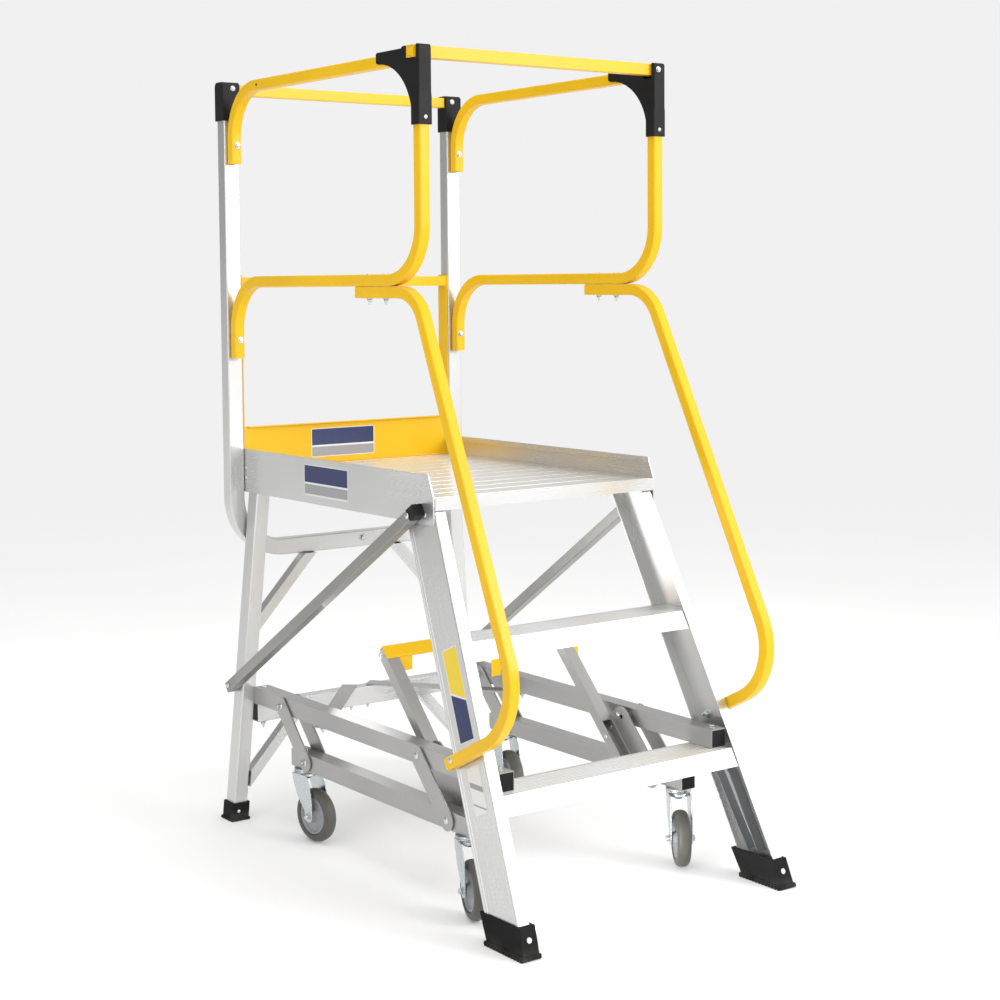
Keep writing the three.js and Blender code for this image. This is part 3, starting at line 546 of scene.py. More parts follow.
def sweep_tube(bm, stations, half_a, half_b, wall, radius, lateral):
    """Hollow rounded-square tube; lateral is the direction kept across the path."""
    outer = rounded_square(half_a, half_b, radius)
    inner = rounded_square(half_a - wall, half_b - wall, max(radius - wall, 0.6))
    outer_rings, inner_rings = [], []
    for point, tangent in stations:
        across = (lateral - tangent * lateral.dot(tangent)).normalized()
        normal = tangent.cross(across)
        for profile, rings in ((outer, outer_rings), (inner, inner_rings)):
            rings.append(ring_of(bm, [at(*(point + across * a + normal * b)) for a, b in profile]))
    bridge(bm, outer_rings)
    bridge(bm, inner_rings)
    bridge(bm, [outer_rings[0], inner_rings[0]])
    bridge(bm, [outer_rings[-1], inner_rings[-1]])


# ---------- fasteners ----------
def hexagon(radius, turn):
    angles = [math.radians(60 * k + turn) for k in range(6)]
    return [(radius * math.cos(a), radius * math.sin(a)) for a in angles]


WASHER_THICK = 1.4


def washer(bm, matrix, radius):
    thick = WASHER_THICK
    turned_solid(bm, [(0, 0), (radius - 0.3, 0), (radius, 0.3), (radius, thick - 0.3),
                      (radius - 0.3, thick), (0, thick)], matrix, 28)


def hex_head(bm, matrix, across, height, turn=12.0):
    """Hexagon head with a chamfered top."""
    radius = across / math.sqrt(3)
    levels = ((radius, 0.0), (radius, height * 0.78), (radius * 0.84, height))
    capped(bm, [level_ring(bm, matrix, hexagon(r, turn), h) for r, h in levels])


def bolt_head(bm, point, direction, across=13.0):
    """Washer and hexagon head standing on a face."""
    matrix = facing(point, direction)
    washer(bm, matrix, across * 0.72)
    raised = matrix @ Matrix.Translation((0, 0, WASHER_THICK * MM))
    hex_head(bm, raised, across, across * 0.42)
    crown = raised @ Matrix.Translation((0, 0, across * 0.42 * MM))
    turned_solid(bm, [(0, -0.4), (across * 0.36, -0.4), (across * 0.33, 0.35), (0, 0.5)], crown, 24)


def lock_nut(bm, point, direction, across=13.0, stub=4.0):
    """Washer, nut with its locking collar and the bolt's end."""
    matrix = facing(point, direction)
    washer(bm, matrix, across * 0.74)
    raised = matrix @ Matrix.Translation((0, 0, WASHER_THICK * MM))
    hex_head(bm, raised, across, across * 0.5, turn=4.0)
    collar = raised @ Matrix.Translation((0, 0, across * 0.46 * MM))
    r = across * 0.40
    turned_solid(bm, [(0, 0), (r, 0), (r, 1.6), (r - 0.6, 2.4), (0, 2.4)], collar, 24)
    end = across * 0.27
    turns = [(0, 0), (end, 0)]
    for k in range(4):
        base = 2.4 + stub * k / 4
        turns += [(end, base + 0.1), (end - 0.45, base + stub / 8)]
    turns += [(end - 0.2, 2.4 + stub), (0, 2.4 + stub)]
    turned_solid(bm, turns, collar, 20)


def dome_head(bm, point, direction, radius=5.5, height=2.6):
    """Button head or rivet: flange and dome with a centre dimple."""
    matrix = facing(point, direction)
    profile = [(0, 0), (radius, 0), (radius, 0.5)]
    for k in range(1, 6):
        a = math.radians(90 * k / 6)
        profile.append((radius * math.cos(a) * 0.96 + 0.04, 0.5 + (height - 0.5) * math.sin(a)))
    profile += [(radius * 0.22, height), (radius * 0.16, height - 0.6), (0, height - 0.7)]
    turned_solid(bm, profile, matrix, 24)


# ---------- rails and hoop ----------
def rail_point(y, z):
    return (rail_x(y), y, z)


def guard_rails():
    half = RAIL_SIDE / 2
    top = [rail_point(RAIL_REAR_Y, 1596), rail_point(RAIL_REAR_Y, TOP_RAIL_Z),
           rail_point(-728, TOP_RAIL_Z)]
    mid = [rail_point(POST_Y, 1740), rail_point(POST_Y, MID_RAIL_Z),
           rail_point(RAIL_REAR_Y, MID_RAIL_Z), rail_point(RAIL_REAR_Y, 1130)]
    hand_z = MID_RAIL_Z - RAIL_SIDE - 0.3
    hand = [rail_point(-531, hand_z), rail_point(-752, hand_z),
            (347, -1144.5, 458.7), (352.4, -903, 332)]
    rails = (("top_rail", top, [RAIL_BEND]), ("mid_rail", mid, [RAIL_BEND, RAIL_BEND]),
             ("handrail", hand, [95, 136]))
    for name, corners, radii in rails:
        for side, sign in SIDES:
            bm = bmesh.new()
            path = [(Vector((p.x * sign, p.y, p.z)), Vector((t.x * sign, t.y, t.z)))
                    for p, t in fillet_path(corners, radii)]
            sweep_tube(bm, path, half, half, 2.0, 3.4, Vector((1, 0, 0)))
            make(f"{name}_{side}_tube", bm, YELLOW, "frame", [f"{name}_{side}"])


def rear_hoop():
    corners = [(326, 45.5, 1780), (326, 45.5, 658), (-326, 45.5, 658), (-326, 45.5, 1780)]
    bm = bmesh.new()
    sweep_tube(bm, fillet_path(corners, [130, 130], 30), 17.5, 20, 3.0, 3.2, Vector((0, 1, 0)))
    make("rear_hoop_tube", bm, ALU["z"], "frame", ["rear_hoop_frame"])


# ---------- rail brackets ----------
def bracket_outline():
    points = [(-788, 1632.5), (-760, 1632.5)]
    centre = (-630, 1640)
    for k in range(17):
        a = math.radians(176 - 84 * k / 16)
        points.append((centre[0] + 131 * math.cos(a), centre[1] + 127 * math.sin(a)))
    points += [(-627.5, 1769), (-626, 1772), (-626, 1788), (-627.5, 1791), (-631, 1792), (-722, 1792),
               (-725, 1795), (-728, 1796), (-782, 1796), (-786, 1795), (-788, 1791)]
    return points


def cutter(x, y, z):
    bm = bmesh.new()
    low, high = at(x[0], y[0], z[0]), at(x[1], y[1], z[1])
    bmesh.ops.create_cube(bm, size=1.0)
    for vert in bm.verts:
        vert.co = Vector([low[i] if vert.co[i] < 0 else high[i] for i in range(3)])
    return placed_mesh("cutter", bm)


def cut(obj, tool):
    """Applies a boolean cut to a new piece's own mesh."""
    modifier = obj.modifiers.new("cut", "BOOLEAN")
    modifier.object = tool
    modifier.solver = "EXACT"
    bpy.context.view_layer.update()
    graph = bpy.context.evaluated_depsgraph_get()
    result = bpy.data.meshes.new_from_object(obj.evaluated_get(graph))
    obj.modifiers.clear()
    obj.data = result
    bpy.data.objects.remove(tool)


def rail_brackets():
    for side, sign in SIDES:
        centre = sign * rail_x(-757)
        bm = bmesh.new()
        prism(bm, bracket_outline(), SIDE_PLANE, centre - 15.6, centre + 15.6)
        body = make(f"rail_bracket_{side}_moulding", bm, BLACK, "frame", [f"rail_bracket_{side}"],
                    smooth=False)
        bottom, reach = (1762.3, 11.5) if sign > 0 else (1769.0, 60)
        slot = cutter((centre - 60, centre + reach), (-776.8, -750.2), (bottom, 1800))
        cut(body, slot)
        body.data.materials.clear()
        body.data.materials.append(BLACK)
        bevelled(body, 1.6, 3, 40)
        smoothed(body.data)
        weighted(body)
        sleeve = bmesh.new()
        low = rounded_square(17.2, 14.6, 2.5, 3)
        high = rounded_square(15.7, 14.4, 2.2, 3)
        rings = []
        for z, profile in ((1632.6, low), (1690, low), (1702, high)):
            rings.append(ring_of(sleeve, [at(centre + a, -773.3 + b, z) for a, b in profile]))
        capped(sleeve, rings)
        make(f"rail_bracket_{side}_sleeve", sleeve, BLACK, "frame", (), 0.8)


# ---------- castors ----------
AXLE_POINT = Vector((0, -CASTOR_TRAIL, WHEEL_AXLE_Z)) * MM


def castor_matrix(name):
    side, y, degrees = CASTORS[name]
    heading = Matrix.Rotation(-math.radians(degrees), 4, "Z")
    return Matrix.Translation(at(side * UPPER_TUBE_X, y, 0)) @ heading


def wheel_matrix(name):
    """Local z along the axle, origin at the wheel's centre."""
    return castor_matrix(name) @ Matrix.Translation(AXLE_POINT) @ SIDE_TURN


def tyre(name):
    """Rounded tread with a moulded bead line on each flank."""
    root, crown, half_width = 47.5, 15.0, 15.6
    profile = [(root, -half_width)]
    for k in range(1, 12):
        a = math.radians(-90 + 180 * k / 12)
        profile.append((root + crown * math.cos(a) ** 0.62, half_width * math.sin(a)))
    profile.append((root, half_width))
    flank = [(46.8, 15.2), (46.2, 14.0), (45.2, 13.6), (44.4, 12.2)]
    profile += flank
    profile += [(r, -h) for r, h in reversed(flank)]
    bm = bmesh.new()
    lathe(bm, profile, wheel_matrix(name), 72)
    make(f"castor_tyre_{name}", bm, TYRE, f"wheel_{name}", [f"castor_wheel_{name}"])


def wheel_core(name):
    """Dished plastic core with a raised rim, a web and a hub boss."""
    half = [(4.07, 21.3), (9.0, 21.3), (10.2, 20.4), (13.2, 19.6), (14.6, 17.6), (15.4, 12.0),
            (17.0, 10.2), (24.0, 8.9), (34.5, 8.7), (36.2, 9.4), (37.6, 12.4), (39.4, 13.3),
            (42.6, 13.3), (44.2, 12.2)]
    profile = half + [(r, -h) for r, h in reversed(half)]
    bm = bmesh.new()
    lathe(bm, profile, wheel_matrix(name), 72)
    make(f"castor_core_{name}", bm, HUB, f"wheel_{name}", ())


def cheek_outline():
    """Fork leg seen from the side as (y, z), with a round foot about the axle."""
    top, foot = FORK_CROWN_TOP, 14.5
    points = [(24, top), (22, top - 14), (6, WHEEL_AXLE_Z + 44),
              (-CASTOR_TRAIL + 15, WHEEL_AXLE_Z + 12)]
    for k in range(13):
        a = math.radians(20 - 220 * k / 12)
        points.append((-CASTOR_TRAIL + foot * math.cos(a), WHEEL_AXLE_Z + foot * math.sin(a)))
    points += [(-CASTOR_TRAIL - 12, WHEEL_AXLE_Z + 40),
               (-CASTOR_TRAIL - 4, WHEEL_AXLE_Z + 74), (-30, top)]
    return points


def castor_fork(name):
    base = castor_matrix(name)
    body = f"fork_{name}"
    bm = bmesh.new()
    for inner, outer in ((-25, -22), (22, 25)):
        prism(bm, cheek_outline(), base @ SIDE_TURN, inner, outer)
    crown = []
    for k in range(33):
        a = math.radians(-10 + 200 * k / 32)
        crown.append((25 * math.cos(a), 6 - 28 * math.sin(a)))
    prism(bm, [(25, 22), (-25, 22), *reversed(crown)], base, 151.4, FORK_CROWN_TOP)
    make(f"castor_fork_{name}_pressing", bm, ZINC, body, [f"castor_fork_{name}"], 1.1)
    head = bmesh.new()
    lathe(head, [(6.1, 158.4), (21, 158.4), (26.5, 160.2), (29, 162.8), (29, 164.6), (27.2, 165.4),
                 (27.2, 166.4), (28.6, 167.0), (28.6, 169.4), (27.4, 171.1), (6.1, 171.1)], base, 64)
    turned_solid(head, [(0, 158), (5.9, 158), (5.9, 214), (5.0, 215.4), (0, 215.4)], base, 28)
    hex_head(head, base @ Matrix.Translation((0, 0, 145.2 * MM)), 17.0, 6.4)
    make(f"castor_raceway_{name}", head, ZINC, body, ())
    axle = bmesh.new()
    centre = base @ AXLE_POINT
    along = base.to_3x3() @ Vector((1, 0, 0))
    matrix = facing(centre, along)
    turned_solid(axle, [(0, -26), (3.95, -26), (3.95, 26), (0, 26)], matrix, 24)
    bolt_head(axle, centre + along * 25 * MM, along, 12.0)
    lock_nut(axle, centre - along * 25 * MM, -along, 12.0, 0.6)
    make(f"castor_axle_{name}", axle, BOLT, body, ())


# ---------- linkage ----------
def stadium(pivot_y, radius=22.5, steps=20):
    angle = math.atan2(LINK_DZ, LINK_DY)
    points = []
    ends = ((pivot_y + LINK_DY, LOWER_TUBE_Z, angle - math.pi / 2),
            (pivot_y, LINK_PIVOT_Z, angle + math.pi / 2))
    for cy, cz, start in ends:
        for k in range(steps + 1):
            a = start + math.pi * k / steps
            points.append((cy + radius * math.cos(a), cz + radius * math.sin(a)))
    return points


def lever_point(along, behind):
    length = math.hypot(LINK_DY, LINK_DZ)
    up_y, up_z = -LINK_DY / length, -LINK_DZ / length
    y = FRONT_PIVOT_Y + along * up_y + behind * up_z
    return (y, LINK_PIVOT_Z + along * up_z - behind * up_y)


def rounded_polygon(points, radius, steps=6):
    """Polygon with each corner rounded off."""
    result = []
    count = len(points)
    for i in range(count):
        before, corner, after = (Vector(points[(i + k) % count]) for k in (-1, 0, 1))
        into, out = (corner - before), (after - corner)
        reach = min(radius, into.length * 0.45, out.length * 0.45)
        start = corner - into.normalized() * reach
        end = corner + out.normalized() * reach
        for k in range(steps + 1):
            t = k / steps
            point = start * (1 - t) ** 2 + corner * 2 * t * (1 - t) + end * t ** 2
            result.append((point.x, point.y))
    return result


def link_plates(name, pivot_y, inner_x, side, sign, body, inner_outline):
    bm = bmesh.new()
    plates = ((inner_x, inner_outline), (LINK_OUTER_X - LINK_THICK, stadium(pivot_y)))
    for low, outline in plates:
        x = sorted((sign * low, sign * (low + LINK_THICK)))
        prism(bm, outline, SIDE_PLANE, x[0], x[1])
    make(f"{name}_{side}_plates", bm, MILLED["lever"], body, [f"{name}_{side}"],
         0.7)
    pins = bmesh.new()
    for y, z in ((pivot_y, LINK_PIVOT_Z), (pivot_y + LINK_DY, LOWER_TUBE_Z)):
        matrix = facing(at(sign * (inner_x + 30), y, z), (sign, 0, 0))
        turned_solid(pins, [(0, -30), (4.95, -30), (4.95, 30), (0, 30)], matrix, 28)
        dome_head(pins, at(sign * LINK_OUTER_X, y, z), (sign, 0, 0), 8.0, 3.6)
        if name == "rear_link":
            lock_nut(pins, at(sign * inner_x, y, z), (-sign, 0, 0), 13.0, 2.0)
        else:
            spacer = [(0, -1.0), (8.8, -1.0), (9.0, 0), (9.0, 11.0), (8.8, 12.0), (0, 12.0)]
            turned_solid(pins, spacer, facing(at(sign * 258.2, y, z), (sign, 0, 0)), 32)
    make(f"{name}_{side}_pins", pins, BOLT, body, ())


def linkage():
    length = math.hypot(LINK_DY, LINK_DZ)
    ear = [lever_point(26, 56), lever_point(26, -6), lever_point(12, -20), lever_point(0, -22.5),
           lever_point(-length, -22.5), lever_point(-length - 16, -16), lever_point(-length - 22.5, 0),
           lever_point(-length - 22.5, 20), lever_point(-length + 12, 56)]
    lever, link = rounded_polygon(ear, 9), stadium(REAR_PIVOT_Y)
    for side, sign in SIDES:
        link_plates("rear_link", REAR_PIVOT_Y, 265.6, side, sign, f"rear_link_{side}", link)
        link_plates("front_link", FRONT_PIVOT_Y, 255, side, sign, "lift_lever", lever)


# ---------- stile stiffener ----------
def smooth_line(points, steps=8):
    """Catmull-Rom curve through the given points."""
    result = []
    padded = [Vector(points[0]) * 2 - Vector(points[1])] + [Vector(p) for p in points]
    padded.append(Vector(points[-1]) * 2 - Vector(points[-2]))
    for i in range(1, len(padded) - 2):
        a, b, c, d = padded[i - 1:i + 3]
        for k in range(steps):
            t = k / steps
            result.append(0.5 * (b * 2 + (c - a) * t + (a * 2 - b * 5 + c * 4 - d) * t * t
                                 + (b * 3 - a - c * 3 + d) * t ** 3))
    result.append(padded[-2])
    return result


def resampled(line, count):
    """Same curve as count points at even spacing."""
    lengths = [0.0]
    for a, b in zip(line, line[1:]):
        lengths.append(lengths[-1] + (b - a).length)
    result = []
    j = 0
    for k in range(count):
        target = lengths[-1] * k / (count - 1)
        while j < len(lengths) - 2 and lengths[j + 1] < target:
            j += 1
        span = lengths[j + 1] - lengths[j]
        result.append(line[j].lerp(line[j + 1], (target - lengths[j]) / span if span else 0))
    return result


def stile_stiffener():
    """Bent channel: web between two smooth edges, with a flange along each. The web gets a pale copy of
    the aluminium as a painted reflection, the flanges a dark copy as painted shade.
    """
    front = [(-1001, 247), (-1013, 232), (-1024, 212), (-1046, 165), (-1093, 66)]
    back = [(-956, 247), (-963, 232), (-974, 218), (-986, 198), (-1012, 150), (-1060, 66)]
    front, back = (resampled(smooth_line(edge), 34) for edge in (front, back))
    outer_x, inner_x, flange_x = 298.2, 295.2, 272.0
    for side, sign in SIDES:
        bm = bmesh.new()

        def place(x, point):
            y, z = point
            return at(sign * (x - STILE_SPLAY * (z - STILE_DATUM_Z)), y, z)

        rings = []
        for f, b in zip(front, back):
            wall = 3.0 * (b - f).normalized()
            section = [(outer_x, f), (outer_x, b), (flange_x, b), (flange_x, b - wall),
                       (inner_x, b - wall), (inner_x, f + wall), (flange_x, f + wall), (flange_x, f)]
            rings.append(ring_of(bm, [place(x, point) for x, point in section]))
        capped(bm, rings)
        channel = make(f"stile_stiffener_{side}_channel", bm, PAINTED_REFLECTION_WEB, "frame",
                       [f"stile_stiffener_{side}"], 0.6)
        # Faces of the flanges take the dark copy, which is painted shade.
        channel.data.materials.append(PAINTED_SHADE_FLANGE)
        for polygon in channel.data.polygons:
            centre = polygon.center / MM
            level_x = abs(centre.x) + STILE_SPLAY * (centre.z - STILE_DATUM_Z)
            if level_x < inner_x - 1:
                polygon.material_index = 1


# ---------- end plugs ----------
def plug(name, point, direction, half, shank, body, depth=9.0):
    """End plug: a cover with a rolled rim and a shallow dish, on a stepped shank."""
    bm = bmesh.new()
    matrix = facing(point, direction)
    steps = ((shank, -depth), (shank, -0.2), (half, 0.0), (half, 0.7), (half - 0.8, 1.3),
             (half - 4.5, 1.4), (half - 5.5, 0.9))
    capped(bm, [level_ring(bm, matrix, rounded_square(size, size, 1.6, 3), h)
                for size, h in steps])
    make(name, bm, BLACK_CAP, body, ())


def end_plugs():
    for side, sign in SIDES:
        tube_ends = (
            ("upper_tube_plug_front", -1009.0, UPPER_TUBE_Z, -1, "frame"),
            ("carrier_plug_front", -912.0, LOWER_TUBE_Z, -1, f"carriage_{side}"),
            ("carrier_plug_rear", -188.0, LOWER_TUBE_Z, 1, f"carriage_{side}"))
        for name, y, z, way, body in tube_ends:
            plug(f"{name}_{side}", at(sign * UPPER_TUBE_X, y, z), (0, way, 0), 19.2, 14.8, body)
        low = Vector((sign * 355.2, 27, 326))
        high = Vector((sign * 318.2, -747, 835))
        run = (high - low).normalized()
        plug(f"diagonal_plug_{side}", at(*(high - run * 1.0)), run, 13.4, 13.4, "frame", 24.0)


# ---------- fixings on the frame ----------
def frame_fixings():
    bm = bmesh.new()
    for _, s in SIDES:
        out = (s, 0, 0)
        tube_x = s * UPPER_TUBE_X
        dome_head(bm, at(s * 318.1, -788, 1647.6), FRONT, 4.6, 2.2)
        for z in (1640, 1174):
            bolt_head(bm, at(s * (RAIL_X - 1.3), 1.0, z), FRONT, 11.0)
        for y in (-571, -635):
            dome_head(bm, at(s * rail_x(y), y, MID_RAIL_Z + 12.6), UP, 6.0, 2.4)
            lock_nut(bm, at(s * rail_x(y), y, MID_RAIL_Z - 38.4), DOWN, 10.0, 5.0)
        dome_head(bm, at(s * 321.6, 25.7, 1777), FRONT, 7.0, 3.4)
        bolt_head(bm, at(tube_x, -988, 327.4), UP, 11.0)
        dome_head(bm, at(tube_x, -24, 327.4), UP, 7.0, 3.0)
        lock_nut(bm, at(tube_x, -17, 240.8), DOWN, 11.0, 6.0)
        for x, y, z in ((305.3, -752, 822), (305.3, 22, 838), (305.3, 22, 862)):
            dome_head(bm, at(s * x, y, z), out, 4.6, 2.2)
        for x, y, z in ((364.6, -921, 345), (367.6, 18, 334), (332.4, -724, 820)):
            dome_head(bm, at(s * x, y, z), out, 6.5, 3.0)
        dome_head(bm, at(s * 343.4, 45, 804), out, 4.4, 2.0)
        lock_nut(bm, at(s * 334.5, -929, 341), (-s, 0, 0), 13.0, 9.0)
        lock_nut(bm, at(s * 25, 4, 240.8), DOWN, 11.0, 5.0)
        lock_nut(bm, at(s * 291, -300, 281.8), DOWN, 11.0, 5.0)
        dome_head(bm, at(s * 354.2, -2.0, 24), FRONT, 4.4, 2.0)
    bolt_head(bm, at(32, 28.0, 661), FRONT, 12.0)
    bolt_head(bm, at(314, -788.0, 1781), FRONT, 9.0)
    make("frame_fixings", bm, BOLT, "frame", ())


def painted_shade_holes():
    """Small drilled holes on the outer faces of the top rails, drawn as flat black discs: painted shade
    in place of the shaded inside of each hole.
    """
    for side, s in SIDES:
        bm = bmesh.new()
        x = rail_x(-118) + RAIL_SIDE / 2
        matrix = facing(at(s * x, -118, TOP_RAIL_Z), (s, 0, 0))
        turned_solid(bm, [(0, -0.4), (3.4, -0.4), (3.4, 0.08), (2.4, 0.14), (0, 0.02)], matrix, 24)
        make(f"top_rail_hole_{side}", bm, BLACK, "frame")


def lever_fixings():
    """Rivets of the lever arms: place on the lever, x, outward or inward, radius, height."""
    rivets = ((277, 46, 254.7, 1, 6.0, 3.0), (-20, 43, 223.0, -1, 5.0, 2.4),
              (-90, 43, 223.0, -1, 5.0, 2.4), (2, 46, 252.2, -1, 5.0, 2.4),
              (12, 8, 255.0, -1, 5.5, 2.6))
    bm = bmesh.new()
    for _, s in SIDES:
        for along, behind, x, way, radius, height in rivets:
            place = at(s * x, *lever_point(along, behind))
            dome_head(bm, place, (way * s, 0, 0), radius, height)
    make("lever_fixings", bm, BOLT, "lift_lever", ())


def boot_screws():
    """Pale screw covers on the front faces of the boots."""
    bm = bmesh.new()
    for _, s in SIDES:
        dome_head(bm, at(s * 344.7, -1153.9, 37), (0, -0.943, 0.332), 6.0, 2.2)
    make("boot_screw_covers", bm, WHITE, "frame")


def boot_treads():
    """Moulded blocks along both edges of each front sole."""
    for side, s in SIDES:
        bm = bmesh.new()
        for k in range(13):
            y = -1163.5 + 9.6 * k
            outline = [(y, 0.3), (y + 5.6, 0.3), (y + 7.4, 6.5), (y + 1.6, 6.5)]
            for edge in (324.0, 370.4):
                prism(bm, outline, SIDE_PLANE, s * edge - 2.2, s * edge + 2.2)
        make(f"front_boot_{side}_treads", bm, RUBBER, "frame", (), 0.5)


def safety_bar_end():
    """Pressed-in cap that closes the bar's free end."""
    bm = bmesh.new()
    matrix = facing(at(-340.0, *BAR_MID), (-1, 0, 0))
    steps = ((BAR_HALF - 2.8, -8.0), (BAR_HALF - 2.8, -0.9), (BAR_HALF - 3.4, -0.5))
    capped(bm, [level_ring(bm, matrix, rounded_square(size, size, 1.2, 3), h)
                for size, h in steps])
    make("safety_bar_end_cap", bm, YELLOW, "safety_bar", ())


# ---------- labels without lettering ----------
def label(name, centre, normal, across, width, height, material):
    """Printed film on a slightly larger white backing, just proud of its face."""
    z = Vector(normal).normalized()
    x = Vector(across).normalized()
    x = (x - z * x.dot(z)).normalized()
    y = z.cross(x)
    matrix = Matrix.Translation(centre) @ Matrix((x, y, z)).transposed().to_4x4()
    layers = (("backing", BACKING, 0.0, 0.12, 0.30), ("print", material, 2.0, 0.2, 0.42))
    for suffix, film, inset, low, high in layers:
        bm = bmesh.new()
        outline = rounded_square(width / 2 - inset, height / 2 - inset, 4.0 - inset, 5)
        prism(bm, outline, matrix, low, high)
        make(f"{name}_{suffix}", bm, film, "frame", smooth=False)


BACKING = label_film(
    "white_label_backing", [(0.0, (0.74, 0.74, 0.73)), (0.5, (0.76, 0.76, 0.75))], 0.0, 2.0)


def labels():
    navy, grey, white = (0.012, 0.022, 0.105), (0.32, 0.32, 0.33), (0.75, 0.75, 0.74)
    yellow = (0.82, 0.60, 0.03)
    plate = [(0.0, white), (0.04, grey), (0.36, white), (0.42, navy)]
    panel = label_film("panel_film", plate, 0.822, 0.893)
    label("side_panel_label_left", at(-305.2, -352, 857), (-1, 0, 0), FRONT, 190, 72, panel)
    board = label_film("board_film", plate, 0.872, 0.95)
    label("toe_board_label", at(-24, 26.8, 911), FRONT, (1, 0, 0), 186, 72, board)
    stile = label_film("stile_film", [(0.0, navy), (0.46, white), (0.48, yellow)], 0.372, 0.572)
    bands = [(0.0, white), (0.12, grey), (0.16, white), (0.5, grey), (0.62, white)]
    lower = label_film("maker_film", bands, 0.25, 0.336)
    normal = Vector((-1, 0, STILE_SPLAY)).normalized()
    up = Vector((STILE_SPLAY, STILE_LEAN, 1)).normalized()
    stile_labels = (("load_label_left", 470, 52, 196, stile), ("maker_label_left", 292, 44, 96, lower))
    for name, z, width, height, film in stile_labels:
        below = z - STILE_DATUM_Z
        centre = at(-(300.6 - STILE_SPLAY * below), -741 + STILE_LEAN * below, z)
        label(name, centre, normal, up.cross(normal), width, height, film)


# ---------- CAD nodes kept as they are ----------
def kept_nodes():
    for side, _ in SIDES:
        paired = {
            "rear_leg": (ALU[f"leg_{side}"], 0.9), "front_stile": (ALU[f"stile_{side}"], 0.35),
            "upper_knee_brace": (ALU[f"brace_{side}"], 0.7), "side_diagonal": (DULL[side], 0.5),
            "lower_knee_brace": (ALU[f"brace_{side}"], 0.7), "corner_brace": (MILLED["y"], 0.6),
            "rear_boot": (RUBBER, 1.4), "front_boot": (RUBBER, 0.9), "upright_cap": (BLACK, 1.8),
            "upper_tube": (MILLED["y"], 0.9), "castor_carrier": (MILLED["y"], 0.9),
            "lever_arm": (MILLED["lever"], 0.8), "side_panel": (ALU["y"], 0.5),
        }
        for stem, (material, width) in paired.items():
            keep_cad(f"{stem}_{side}", material, width)
    single = {
        "lower_rear_crossbar": (ALU["x"], 0.9), "lift_bar": (YELLOW, 0.7), "tread_lower": (RIBBED, 0.2),
        "tread_upper": (RIBBED, 0.2), "platform_deck": (RIBBED, 0.2), "toe_board": (YELLOW, 0.5),
        "safety_bar": (YELLOW, 1.0), "rear_top_bar": (YELLOW, 1.0), "rear_mid_rail": (YELLOW, 0.8),
    }
    for name, (material, width) in single.items():
        keep_cad(name, material, width)


# ---------- stage ----------
BACKDROP = (0.88, 0.88, 0.88)


def fade_to_backdrop(graph):
    """Lets the floor melt into the surround well behind the ladder."""
    length = graph.add("ShaderNodeVectorMath", operation="LENGTH")
    graph.link(graph.coords, length.inputs[0])
    far = graph.remap(length.outputs["Value"], (2.2, 7.0))
    glow = graph.add("ShaderNodeEmission")
    glow.inputs["Color"].default_value = (*BACKDROP, 1)
    blend = graph.add("ShaderNodeMixShader")
    graph.link(far, blend.inputs[0])
    graph.link(graph.bsdf.outputs["BSDF"], blend.inputs[1])
    graph.link(glow.outputs["Emission"], blend.inputs[2])
    output = graph.tree.nodes["Material Output"]
    graph.link(blend.outputs["Shader"], output.inputs["Surface"])


def floor():
    bm = bmesh.new()
    bmesh.ops.create_grid(bm, x_segments=1, y_segments=1, size=60.0)
    obj = placed_mesh("studio_floor", bm)
    graph = Graph("studio_floor_paint")
    cloud = graph.noise(0.8, 3.0)
    patches = graph.remap(cloud, (0.3, 0.7))
    graph.color(graph.mix(patches, (0.80, 0.80, 0.80), (0.83, 0.83, 0.83)))
    graph.set(Roughness=0.7, Specular_IOR_Level=0.15)
    graph.bsdf.inputs["Emission Color"].default_value = (*BACKDROP, 1)
    graph.bsdf.inputs["Emission Strength"].default_value = 0.16
    fade_to_backdrop(graph)
    obj.data.materials.append(graph.material)


def studio_world():
    """Grey surround, darker to the rear left, with a bright patch to the front right."""
    world = bpy.data.worlds.new("studio")
    bpy.context.scene.world = world
    world.use_nodes = True
    tree = world.node_tree
    tree.nodes.clear()
    join = tree.links.new
    output = tree.nodes.new("ShaderNodeOutputWorld")
    coords = tree.nodes.new("ShaderNodeTexCoord")

    def lobe(direction, low, high):
        dot = tree.nodes.new("ShaderNodeVectorMath")
        dot.operation = "DOT_PRODUCT"
        join(coords.outputs["Generated"], dot.inputs[0])
        dot.inputs[1].default_value = Vector(direction).normalized()
        reach = tree.nodes.new("ShaderNodeMapRange")
        reach.interpolation_type = "SMOOTHSTEP"
        join(dot.outputs["Value"], reach.inputs["Value"])
        reach.inputs["From Min"].default_value = low
        reach.inputs["From Max"].default_value = high
        return reach.outputs["Result"]

    def blend(factor, first, second):
        node = tree.nodes.new("ShaderNodeMix")
        node.data_type = "RGBA"
        join(factor, node.inputs[0])
        for socket, value in ((node.inputs[6], first), (node.inputs[7], second)):
            if isinstance(value, tuple):
                socket.default_value = (*value, 1)
            else:
                join(value, socket)
        return node.outputs[2]

    shade = blend(lobe((-0.62, 0.78, 0.02), 0.40, 0.97), (0.74, 0.74, 0.74), (0.26, 0.26, 0.26))
    lit = blend(lobe((0.55, -0.80, 0.20), 0.45, 0.95), shade, (1.55, 1.54, 1.51))
    sky = blend(lobe((0.0, 0.0, 1.0), 0.55, 0.95), lit, (0.95, 0.95, 0.95))
    path = tree.nodes.new("ShaderNodeLightPath")
    seen = blend(path.outputs["Is Camera Ray"], sky, BACKDROP)
    background = tree.nodes.new("ShaderNodeBackground")
    join(seen, background.inputs["Color"])
    join(background.outputs["Background"], output.inputs["Surface"])


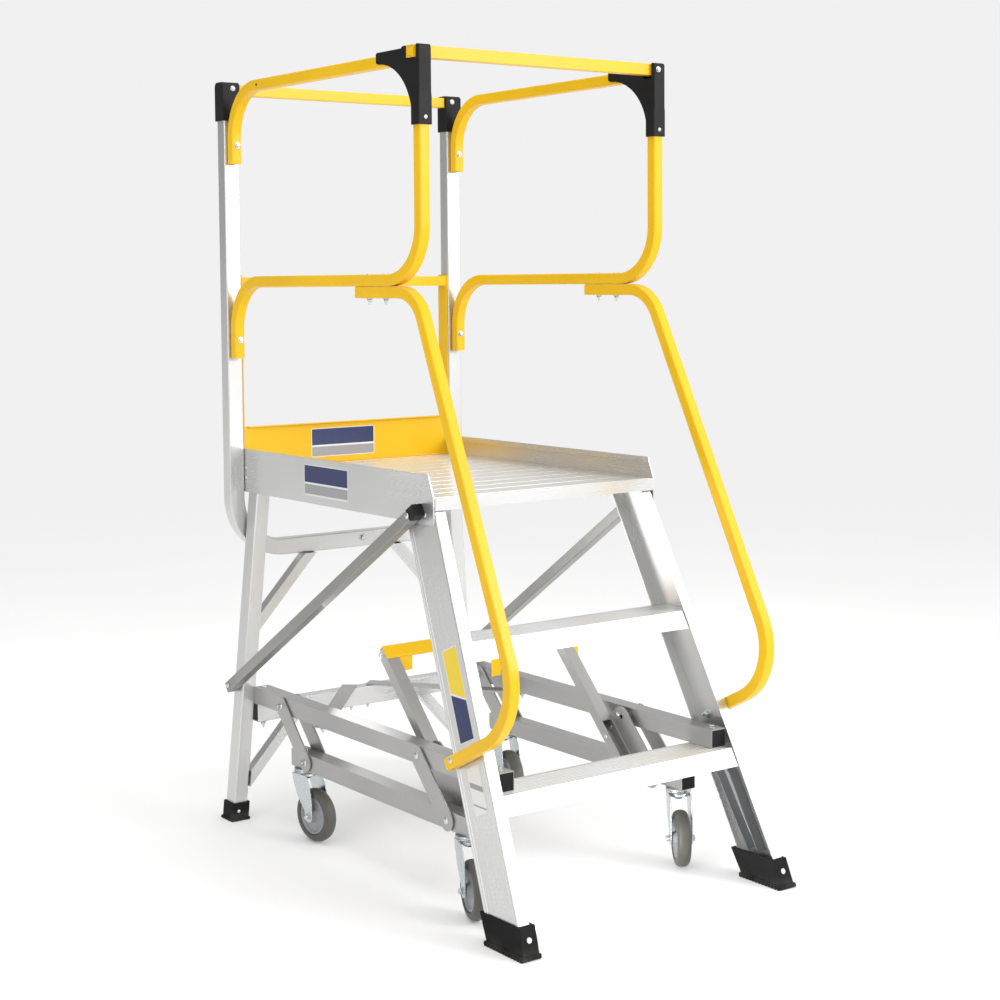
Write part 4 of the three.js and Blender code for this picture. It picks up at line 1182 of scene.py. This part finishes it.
def area_light(name, place, target, size, power):
    data = bpy.data.lights.new(name, "AREA")
    data.shape = "DISK"
    data.size = size
    data.energy = power
    obj = placed(name, data)
    obj.location = place
    aim = Vector(target) - Vector(place)
    obj.rotation_mode = "QUATERNION"
    obj.rotation_quaternion = aim.to_track_quat("-Z", "Y")
    obj.visible_camera = False


def camera():
    """The photograph's view: a long lens from the front left, at the height of the mid rails."""
    yaw, pitch, roll = (math.radians(a) for a in (35.708, -3.946, -0.480))
    level_reach = math.cos(pitch)
    forward = Vector((math.sin(yaw) * level_reach, math.cos(yaw) * level_reach, math.sin(pitch)))
    level = Vector((math.cos(yaw), -math.sin(yaw), 0))
    upright = level.cross(forward)
    right = level * math.cos(roll) + upright * math.sin(roll)
    up = upright * math.cos(roll) - level * math.sin(roll)
    data = bpy.data.cameras.new("camera")
    data.sensor_width = 36.0
    data.lens = 65.82
    data.shift_x = 0.02795
    data.shift_y = -0.09263
    data.clip_end = 200
    obj = placed("camera", data)
    rotation = Matrix((right, up, -forward)).transposed().to_4x4()
    obj.matrix_world = Matrix.Translation(at(-2446.49, -3903.11, 1310.86)) @ rotation
    bpy.context.scene.camera = obj


def stage():
    floor()
    studio_world()
    # Name, place and target in metres, width in metres, power in watts.
    area_light("key_softbox", (2.6, -4.6, 3.0), (0, 0, 0.8), 2.4, 120)
    area_light("top_softbox", (-0.6, 0.2, 4.6), (0, 0, 0.5), 3.0, 55)
    area_light("left_fill", (-4.5, -1.2, 1.8), (0, 0, 0.8), 2.6, 30)
    area_light("under_fill", (-0.24, -0.42, 0.13), (0.34, -0.52, 0.14), 0.26, 2.4)
    area_light("tread_fill", (-0.16, 0.30, 0.55), (0.31, -0.34, 0.45), 0.45, 0.9)
    camera()
    bpy.context.scene.view_settings.view_transform = "Standard"


for part in (kept_nodes, guard_rails, rear_hoop, rail_brackets):
    part()
for castor in CASTORS:
    for part in (tyre, wheel_core, castor_fork):
        part(castor)
for part in (linkage, stile_stiffener, end_plugs, frame_fixings, painted_shade_holes, lever_fixings,
             boot_screws, boot_treads, safety_bar_end, labels, stage):
    part()
